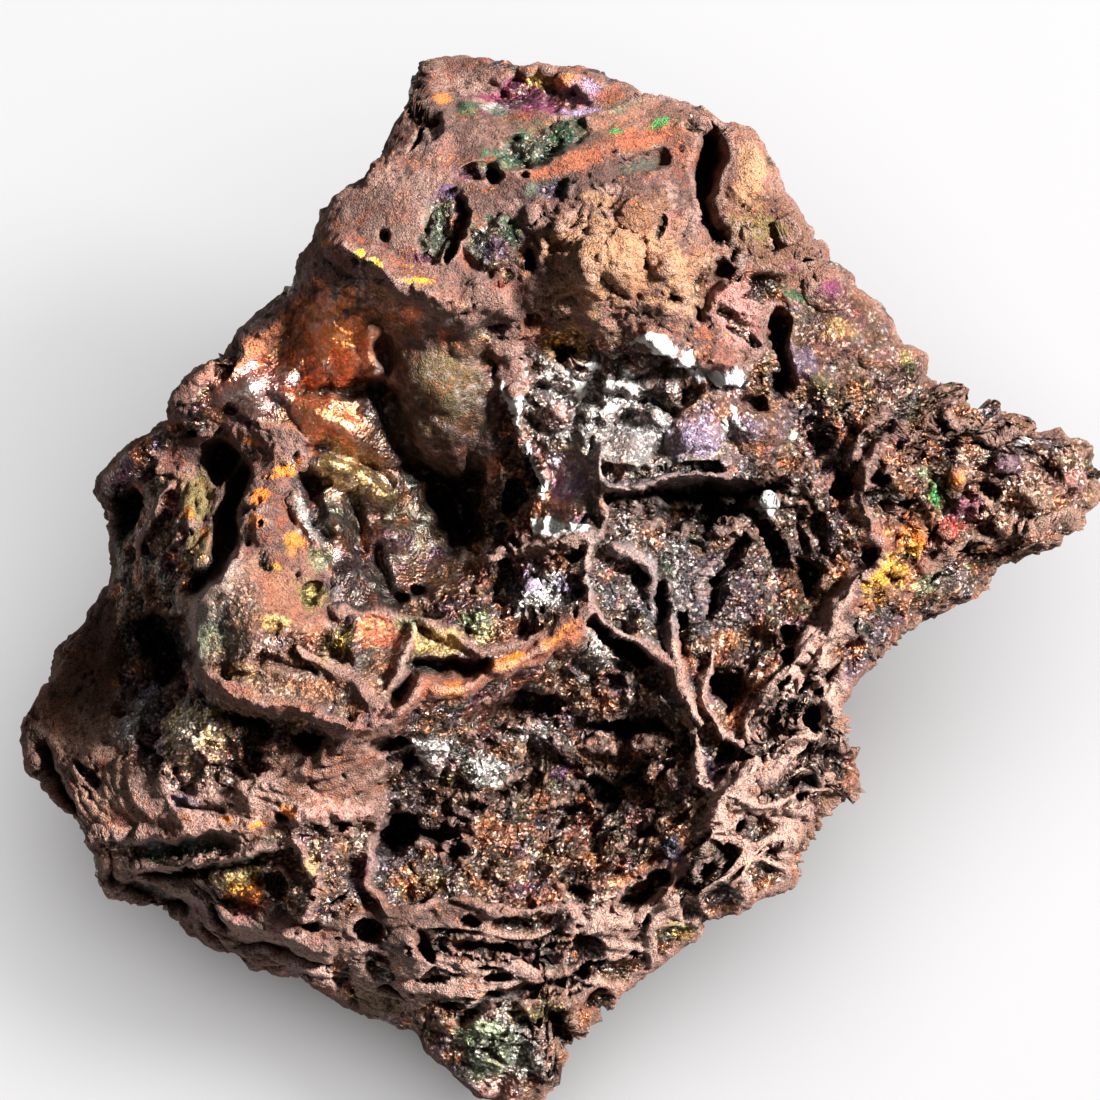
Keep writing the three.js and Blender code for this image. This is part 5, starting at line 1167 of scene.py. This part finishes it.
def creases(points, reach, offset):
    """Noise with sharp crests: near 1 on the crest lines, falling off to both sides."""
    return 1 - np.abs(swell(points, reach, offset)) * 1.6


def ledges(height, pitch, crispness):
    """What turns an even slope into ledges of a given pitch."""
    level = height / pitch
    part = level - np.floor(level)
    return (ramp(part, 0.5 - 0.5 * crispness, 1 - 0.4 * crispness) - part) * pitch


def wandered(points, reach, size, offset):
    """Points shifted by smooth noise, so that cells laid over them come out bent and drawn out."""
    shift = [swell(points, reach, offset + 7.7 * axis) for axis in range(3)]
    return points + size * np.stack(shift, axis=1)


def crumpled(points, reach, offset):
    """Sharp-crested noise of three sizes, like crumpled foil, between about -1 and 1."""
    bent = wandered(points, 1.6 * reach, 0.5 * reach, offset)
    broad = creases(bent, reach, offset)
    middle = creases(bent, 0.45 * reach, offset + 4.1)
    small = creases(bent, 0.2 * reach, offset + 9.6)
    return broad + 0.5 * middle * (0.4 + broad) + 0.22 * small - 1.1


def fine_relief(points, natures):
    """How far each point moves along its normal, by the nature of the surface there."""
    lining = natures["lining"]
    satin = natures["satin"] * lining
    drusy = lining * (1 - satin)
    matte = 1 - lining
    calm = 1 - 0.8 * natures["smooth"]
    edge = 1 - 0.55 * natures["edge"]
    side = (1 - natures["on_face"]) * ramp(points[:, 2], 0.5, 3.0)
    even = 1 - 0.75 * natures["wall"]
    foil = crumpled(points, 2.6, 3.3) * (0.4 + 0.6 * even)
    bent = wandered(points, 1.5, 0.5, 5.5)
    plates = facets(bent, 2.6, 8.1) * even
    knob, _, own = scatter_cells(bent, 2.3, 27.7)
    knobs = dome(0.95 * knob) * (0.4 + 0.8 * own)
    open_druse = drusy * edge * (1 - natures["grainy"])
    move = open_druse * (0.34 * foil + 0.25 * plates + 0.75 * knobs - 0.4)
    small = 0.14 * facets(bent, 1.1, 27.7) + 0.12 * crumpled(points, 0.9, 7.2)
    move += drusy * edge * even * small
    caves = ramp(swell(bent, 2.8, 77.0), 0.1, 0.45) * even
    move -= 1.2 * open_druse * caves
    move += satin * (0.3 * swell(points, 2.0, 12.1) + 0.08 * swell(points, 0.9, 4.4))
    worn = ramp(swell(points, 5.0, 88.0), -0.3, 0.3)
    jag = creases(points, 0.8, 1.9) - 0.5
    soft = 0.16 * swell(points, 2.6, 17.5)
    move += matte * calm * edge * (0.2 * worn * foil + soft + 0.07 * plates)
    move += matte * even * (0.08 + 0.14 * worn * calm) * jag
    _, _, height = stone_to_frame(points)
    layer = height + 1.3 * swell(points, 4.4, 61.3)
    layered = natures["on_face"] * (1 - worn) * edge * even
    move += matte * calm * 0.5 * ledges(layer, LEDGE_PITCH, 0.85) * layered
    move += natures["rough"] * (0.2 * crumpled(points, 1.3, 44.2) + 0.9 * knobs - 0.4)
    crumb, _, _ = scatter_cells(wandered(points, 2.5, 1.0, 6.2), 0.9, 17.9)
    move += natures["crumbly"] * edge * (0.3 * dome(crumb * 1.2) + 0.6 * foil)
    move += side * (0.6 - 0.5 * natures["rim"]) * foil
    move += 0.35 * natures["edge"]
    return move - natures["holes"]


def ball_mesh(name, splits):
    """A ball of 20 large triangles, each split evenly, whose faces know which of the five
    sectors around the upright axis they belong to."""
    bm = bmesh.new()
    bmesh.ops.create_icosphere(bm, subdivisions=1, radius=1)
    for face in bm.faces:
        middle = face.calc_center_median()
        turn = math.atan2(middle.y, middle.x) / (2 * math.pi)
        face.material_index = math.floor(turn * len(SECTORS) + 0.25) % len(SECTORS)
    bmesh.ops.subdivide_edges(bm, edges=bm.edges[:], cuts=splits - 1, use_grid_fill=True)
    mesh = bpy.data.meshes.new(name)
    bm.to_mesh(mesh)
    bm.free()
    return mesh


def read_points(mesh):
    flat = np.empty(len(mesh.vertices) * 3, dtype=np.float32)
    mesh.vertices.foreach_get("co", flat)
    return flat.reshape(-1, 3).astype(np.float64)


def read_normals(mesh):
    flat = np.empty(len(mesh.vertices) * 3, dtype=np.float32)
    mesh.vertex_normals.foreach_get("vector", flat)
    return flat.reshape(-1, 3).astype(np.float64)


def write_points(mesh, points):
    mesh.vertices.foreach_set("co", points.astype(np.float32).ravel())
    mesh.update()


def standing_out(mesh, points, rounds):
    """How far each point stands out of the surface around it, in millimetres, with the surface
    averaged over each of the given numbers of rounds."""
    count = len(points)
    edges = np.empty(len(mesh.edges) * 2, dtype=np.int32)
    mesh.edges.foreach_get("vertices", edges)
    first, second = edges.reshape(-1, 2).T
    both = np.concatenate([first, second])
    other = np.concatenate([second, first])
    degree = np.maximum(np.bincount(both, minlength=count), 1)
    normals = read_normals(mesh).T
    eased = np.ascontiguousarray(points.T)
    for done in range(1, max(rounds) + 1):
        sums = [np.bincount(both, weights=row[other], minlength=count) for row in eased]
        eased = 0.5 * eased + 0.5 * np.stack(sums) / degree
        if done in rounds:
            yield ((points.T - eased) * normals).sum(axis=0)


def set_shares(mesh, name, values):
    layer = mesh.attributes.new(name, "FLOAT", "POINT")
    layer.data.foreach_set("value", values.astype(np.float32))


def set_colours(mesh, name, colours):
    layer = mesh.attributes.new(name, "FLOAT_COLOR", "POINT")
    rgba = np.concatenate([colours, np.ones((len(colours), 1))], axis=1)
    layer.data.foreach_set("color", rgba.astype(np.float32).ravel())


def linear(colour):
    """A colour as seen, made linear for the shader."""
    seen = np.asarray(colour, dtype=float)
    return np.where(seen <= 0.04045, seen / 12.92, ((seen + 0.055) / 1.055) ** 2.4)


def blend(base, colour, share):
    return base + (linear(PALETTE[colour]) - base) * share[:, None]


def painted(points, natures):
    """The stone's colour at each point: its ground colours, then the patches laid over them."""
    u, v, _ = stone_to_frame(points)
    su, sv = stirred(u, v)
    broad = swell(points, 4.0, 14.2)
    fine = swell(points, 1.4, 25.3)
    grain = swell(points, 0.45, 62.9)
    lining = natures["lining"]
    on_face = natures["on_face"]
    colours = np.tile(linear(PALETTE["matte"]), (len(points), 1))
    colours = blend(colours, "dark matte", ramp(broad + 0.6 * fine, -0.2, 0.6) * 0.75)
    colours = blend(colours, "pale", ramp(0.7 * fine - broad, 0.1, 0.8) * 0.5)
    ruddy = swell(points, 2.6, 91.0) + 0.4 * grain
    colours = blend(colours, "red brown", ramp(ruddy, 0.1, 0.6) * 0.5)
    colours = blend(colours, "rust", ramp(broad + fine + 0.6 * grain, 0.6, 1.1) * 0.5)
    colours = blend(colours, "pale", natures["lace"] * 0.85)
    colours = blend(colours, "brown", natures["crumbly"] * 0.7)
    metal = np.tile(linear(PALETTE["bronze"]), (len(points), 1))
    for colour, reach, offset, low, high, strength in FILMS:
        metal = blend(metal, colour, ramp(swell(points, reach, offset), low, high) * strength)
    colours += (metal - colours) * lining[:, None]
    for run, wide, _, skin in RIDGES:
        if skin == "drusy":
            continue
        near, away = near_run(su, sv, run, wide)
        share = (1 - ramp(away, 0.4, 1.1)) * on_face[near] * (0.85 + 0.3 * fine[near])
        colours[near] = blend(colours[near], skin, np.clip(share, 0, 1) * 0.8)
    for colour, *oval, strength in PATCHES:
        near, away = near_oval(su, sv, oval, 1.3)
        ragged = away + 0.5 * fine[near] + 0.4 * grain[near]
        share = strength * (1 - ramp(ragged, 0.6, 1.1)) * on_face[near]
        colours[near] = blend(colours[near], colour, np.clip(share, 0, 1))
    return colours


def shaded(mesh, points, natures):
    """Painted colours with dust on the crests and painted shade in hollows, holes and cracks."""
    fine_stand, broad_stand = standing_out(mesh, points, (FINE_ROUNDS, BROAD_ROUNDS))
    crest = ramp(fine_stand, 0.03, 0.2) * ramp(broad_stand, 0.0, 0.5)
    bare = crest * (1 - natures["satin"]) * natures["lining"]
    natures["lining"] = natures["lining"] - 0.8 * bare * ramp(swell(points, 1.4, 33.0), -0.3, 0.3)
    colours = painted(points, natures)
    colours = blend(colours, "pale", crest * (1 - natures["lining"]) * 0.45)
    # Painted shade: darker where the surface lies low, in the holes, and in deep hollows and
    # cracks.
    painted_shade = ramp(-fine_stand, 0.02, 0.3) * 0.5 + ramp(-broad_stand, 0.1, 1.4) * 0.5
    painted_shade = np.maximum(painted_shade, ramp(natures["holes"], 0.2, 0.9))
    painted_shade = np.maximum(painted_shade, 1.1 * natures["hollow_shade"])
    return colours * (1 - 0.8 * np.clip(painted_shade, 0, 1))[:, None]


def make_stone(finish):
    """The whole stone: a fine ball moved onto the stone's form and roughened, with its feet
    flattened where it stands and its box brought over the solid's."""
    mesh = ball_mesh("goethite", FINE_SPLIT)
    directions = read_points(mesh)
    directions /= np.linalg.norm(directions, axis=1)[:, None]
    points = stone_points(directions)
    write_points(mesh, points)
    natures = surface_natures(points, read_normals(mesh))
    lift = fine_relief(points, natures) + CRUST_THICKNESS * natures["chalk"]
    points += read_normals(mesh) * lift[:, None]
    write_points(mesh, points)
    colours = shaded(mesh, points, natures)
    set_colours(mesh, "tint", colours)
    for name in ("lining", "crumbly", "smooth", "satin", "chalk"):
        set_shares(mesh, name, natures[name])
    points[:, 2] = np.maximum(points[:, 2], 0)
    offset = centre_offset(points)
    write_points(mesh, (points + offset) * MM)
    for _ in SECTORS:
        mesh.materials.append(finish)
    mesh.shade_smooth()
    piece = bpy.data.objects.new("goethite", mesh)
    bpy.context.scene.collection.objects.link(piece)
    return piece, offset


def centre_offset(points):
    """What moves the shaped stone's box over the solid's box, in millimetres."""
    low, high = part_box(NODE)
    middle = (points.min(axis=0) + points.max(axis=0)) / 2
    target = (Vector(low) + Vector(high)) / 2 / MM
    return np.array([target.x - middle[0], target.y - middle[1], 0])


def in_sectors(stone):
    """Parts the stone's mesh into its five sectors, each a piece small enough to export, in
    the order of their bearings."""
    bpy.context.view_layer.objects.active = stone
    stone.select_set(True)
    bpy.ops.object.mode_set(mode="EDIT")
    bpy.ops.mesh.separate(type="MATERIAL")
    bpy.ops.object.mode_set(mode="OBJECT")
    parts = [found for found in bpy.context.scene.objects if found.name.startswith("goethite")]
    parts = [found for found in parts if found.type == "MESH" and found.name != NODE]
    for part in parts:
        faces = part.data.polygons
        faces.foreach_set("material_index", np.zeros(len(faces), dtype=np.int32))
        while len(part.data.materials) > 1:
            part.data.materials.pop()
    return sorted(parts, key=bearing_of)


def bearing_of(part):
    """The bearing of a sector's middle around the upright axis, from the arm's side."""
    middle = read_points(part.data).mean(axis=0)
    return math.atan2(middle[1], middle[0]) % (2 * math.pi)


# ---------------------------------------------------------------- materials

class Wire:
    """A shader socket that can be added, subtracted and multiplied."""

    def __init__(self, shader, socket):
        self.shader = shader
        self.socket = socket

    def __add__(self, other):
        return self.shader.maths("ADD", self, other)

    def __sub__(self, other):
        return self.shader.maths("SUBTRACT", self, other)

    def __rsub__(self, other):
        return self.shader.maths("SUBTRACT", other, self)

    def __mul__(self, other):
        return self.shader.maths("MULTIPLY", self, other)

    __radd__ = __add__
    __rmul__ = __mul__


class Shader:
    """A material's node tree, and the one method that adds nodes to it."""

    def __init__(self, name):
        self.material = bpy.data.materials.new(name)
        self.material.use_nodes = True
        self.tree = self.material.node_tree
        self.tree.nodes.clear()

    def node(self, kind, settings=None, inputs=None, out=0):
        made = self.tree.nodes.new("ShaderNode" + kind)
        for key, value in (settings or {}).items():
            if key == "stops":
                set_stops(made.color_ramp, value)
            else:
                setattr(made, key, value)
        for key, value in (inputs or {}).items():
            if isinstance(value, Wire):
                self.tree.links.new(value.socket, made.inputs[key])
            else:
                made.inputs[key].default_value = value
        return Wire(self, made.outputs[out]) if len(made.outputs) else None

    def maths(self, operation, first, second):
        return self.node("Math", {"operation": operation}, {0: first, 1: second})

    def vector(self, operation, inputs):
        return self.node("VectorMath", {"operation": operation}, inputs)

    def mix(self, first, second, share, how="MIX"):
        settings = {"data_type": "RGBA", "blend_type": how}
        return self.node("Mix", settings, {0: share, 6: first, 7: second}, out=2)

    def stretch(self, value, low, high, to_low=0.0, to_high=1.0):
        inputs = {0: value, 1: low, 2: high, 3: to_low, 4: to_high}
        return self.node("MapRange", {"interpolation_type": "SMOOTHSTEP"}, inputs)

    def share(self, name):
        return self.node("Attribute", {"attribute_name": name}, out=2)

    def close(self, surface):
        self.node("OutputMaterial", None, {0: surface})
        return self.material


def set_stops(color_ramp, stops):
    elements = color_ramp.elements
    while len(elements) > 1:
        elements.remove(elements[-1])
    elements[0].position, elements[0].color = stops[0]
    for position, colour in stops[1:]:
        elements.new(position).color = colour


def rgba(name):
    return (*linear(PALETTE[name]), 1.0)


def goethite_finish():
    """Matte skin, crystal lining and white crust in one finish, shared out by the shares."""
    s = Shader("goethite")
    place = s.node("TexCoord", out=3)
    tint = s.node("Attribute", {"attribute_name": "tint"}, out=0)
    lining = s.share("lining")
    crumbly = s.share("crumbly")
    chalk = s.share("chalk")
    smooth = s.share("smooth")
    satin = s.share("satin")

    def noise(size, detail, rough=0.6, warp=0.0):
        inputs = {"Vector": place, "Scale": 1 / (size * MM), "Detail": detail, "Roughness": rough,
                  "Distortion": warp}
        return s.node("TexNoise", None, inputs)

    def cells(size, out):
        return s.node("TexVoronoi", None, {"Vector": place, "Scale": 1 / (size * MM)}, out)

    # The lining: each crystal has its own brightness, under a film that drifts from hue to hue.
    crystal = cells(CRYSTAL_SIZE, 1)
    own = s.node("SeparateColor", None, {0: crystal}, 0)
    own_hue = s.node("SeparateColor", None, {0: crystal}, 1)
    film = s.node("ValToRGB", {"stops": [
        (0.0, rgba("lilac")), (0.2, rgba("copper")), (0.36, rgba("tan")), (0.52, rgba("silver")),
        (0.66, rgba("tan")), (0.78, rgba("pale green")), (0.9, rgba("silver")), (1.0, rgba("pink")),
    ]}, {0: own_hue * 0.2 + noise(2.4, 2.0) * 1.3 - 0.25})
    metal = s.mix(tint, film, s.stretch(noise(1.0, 2.0), 0.42, 0.7, 0.05, 0.45))
    # Painted glints: each crystal's colour is scaled, the brightest up to over twice.
    painted_sparkle = s.stretch(own, 0.6, 1.0, 0.36, 2.1)
    painted_sparkle = painted_sparkle * s.stretch(noise(0.7, 3.0), 0.35, 0.65, 0.5, 1.25)
    bright = painted_sparkle * (1 - 0.75 * satin) + 0.6 * satin
    gain = s.node("CombineColor", None, {0: bright, 1: bright, 2: bright})
    metal = s.mix(metal, gain, 1.0, "MULTIPLY")

    # The skin: sandy grain, dark flecks, and rust and orange specks that gather in places.
    grit = noise(0.16, 2.0, 0.7)
    gathered = s.stretch(noise(3.4, 2.0), 0.45, 0.68)
    flecks = s.stretch(noise(0.3, 3.0, 0.7), 0.5, 0.66, 0.0, 0.85)
    skin = s.mix(tint, (0.015, 0.008, 0.006, 1), flecks)
    rusty = s.stretch(noise(0.5, 3.0, 0.7), 0.5, 0.64, 0.0, 0.7) * gathered
    skin = s.mix(skin, rgba("rust"), rusty)
    skin = s.mix(skin, rgba("orange"), s.stretch(noise(0.33, 1.0), 0.66, 0.72, 0.0, 0.8) * gathered)
    worn = s.mix(tint, (1.9, 2.1, 2.1, 1), 1.0, "MULTIPLY")
    skin = s.mix(skin, worn, s.stretch(grit, 0.54, 0.7, 0.0, 0.6))
    skin = s.mix(skin, (0.012, 0.007, 0.006, 1), s.stretch(noise(0.14, 1.0), 0.54, 0.66, 0.0, 0.6))
    white = s.mix(rgba("chalk"), rgba("grey"), s.stretch(noise(0.5, 3.0), 0.5, 0.8, 0.0, 0.5))
    base = s.mix(s.mix(skin, metal, lining), white, chalk)

    shine = lining * (1 - chalk)
    metallic = shine * s.stretch(own, 0.0, 0.5, 0.7, 0.95)
    roughness = 0.9 - shine * (s.stretch(own_hue, 0.0, 1.0, 0.58, 0.42) + 0.1 * satin)

    # Facets: every crystal of the lining leans its own way, and the lining is crinkled.
    lean = s.vector("SUBTRACT", {0: crystal, 1: (0.5, 0.5, 0.5)})
    lean = s.vector("SCALE", {0: lean, 3: shine * (1 - 0.8 * satin) * 0.4})
    leaning = s.vector("ADD", {0: s.node("NewGeometry", out=1), 1: lean})
    facing = s.vector("NORMALIZE", {0: leaning})
    crinkle = noise(0.42, 3.0, 0.62, 0.5) * (1 - 0.85 * satin) + cells(0.34, 0) * -0.35
    grain = noise(0.17, 2.0, 0.7) * (1 - 0.3 * smooth) * (1.2 + 0.6 * crumbly)
    height = crinkle * shine * (1.3 - 0.6 * satin) + grain * (1 - 0.75 * shine)
    bump = s.node("Bump", None, {"Height": height, "Strength": 1.0,
                                 "Distance": BUMP_DEPTH * MM, "Normal": facing})
    surface = s.node("BsdfPrincipled", None, {
        "Base Color": base, "Metallic": metallic, "Roughness": roughness, "Normal": bump,
        "IOR": 1.38,
    })
    return s.close(surface)


def floor_finish():
    s = Shader("studio floor")
    surface = s.node("BsdfPrincipled", None, {
        "Base Color": FLOOR_COLOUR, "Roughness": 0.9, "Specular IOR Level": 0.1,
    })
    return s.close(surface)


# ---------------------------------------------------------------- stage, lights and camera

def make_floor():
    bm = bmesh.new()
    bmesh.ops.create_grid(bm, x_segments=1, y_segments=1, size=FLOOR_REACH)
    mesh = bpy.data.meshes.new("floor")
    bm.to_mesh(mesh)
    bm.free()
    mesh.materials.append(floor_finish())
    floor = bpy.data.objects.new("floor", mesh)
    bpy.context.scene.collection.objects.link(floor)
    return floor


def make_light(name, place, target, size, watts):
    light = bpy.data.lights.new(name, "AREA")
    light.shape = "DISK"
    light.size = size
    light.energy = watts
    lamp = bpy.data.objects.new(name, light)
    lamp.location = place
    lamp.rotation_euler = (Vector(target) - Vector(place)).to_track_quat("-Z", "Y").to_euler()
    bpy.context.scene.collection.objects.link(lamp)
    return lamp


def light_only(lamps, name, objects):
    """Keeps lamps for some objects; everything still casts its shadow."""
    lit = bpy.data.collections.new(name)
    for found in objects:
        lit.objects.link(found)
    for lamp in lamps:
        lamp.light_linking.receiver_collection = lit


def make_lights(target, sectors, floor):
    """A key light from the right, apart for the stone and the floor, and a soft floor light."""
    key = Vector((math.cos(KEY_HEIGHT) * math.cos(KEY_BEARING),
                  math.cos(KEY_HEIGHT) * math.sin(KEY_BEARING), math.sin(KEY_HEIGHT)))
    key_place = Vector(target) + key * KEY_REACH
    stone_key = make_light("key", key_place, target, KEY_SIZE, KEY_WATTS)
    floor_key = make_light("floor key", key_place, target, FLOOR_KEY_SIZE, FLOOR_KEY_WATTS)
    overhead = make_light("floor light", OVERHEAD_PLACE, (0, 0, 0), OVERHEAD_SIZE, OVERHEAD_WATTS)
    light_only([stone_key], "stone only", sectors)
    light_only([floor_key, overhead], "floor only", [floor])
    world = bpy.data.worlds.new("studio")
    world.use_nodes = True
    ground = world.node_tree.nodes["Background"]
    ground.inputs["Color"].default_value = (1, 1, 1, 1)
    ground.inputs["Strength"].default_value = ROOM_LIGHT
    bpy.context.scene.world = world


def make_camera(shift):
    """The camera looks straight down the show face's w axis at its frame's middle."""
    aim = (frame_to_stone(*np.zeros((3, 1)))[0] + shift) * MM
    out = np.array([0, -math.sin(FACE_TILT), math.cos(FACE_TILT)])
    camera = bpy.data.cameras.new("camera")
    camera.lens = VIEW_LENS
    camera.sensor_width = VIEW_SENSOR
    camera.sensor_fit = "HORIZONTAL"
    camera.clip_start = 0.01
    holder = bpy.data.objects.new("camera", camera)
    holder.location = Vector(aim + out * VIEW_DISTANCE * MM)
    holder.rotation_euler = (FACE_TILT, 0, 0)
    bpy.context.scene.collection.objects.link(holder)
    bpy.context.scene.camera = holder
    return aim


stone, offset = make_stone(goethite_finish())
sectors = in_sectors(stone)
for name, sector in zip(SECTORS, sectors):
    sector.name = name
    sector.data.name = name
    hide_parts(NODE)
    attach(sector, "root")

floor = make_floor()
aim = make_camera(offset)
make_lights(aim, sectors, floor)
bpy.context.scene.view_settings.view_transform = "Standard"
bpy.context.scene.view_settings.exposure = 0.0
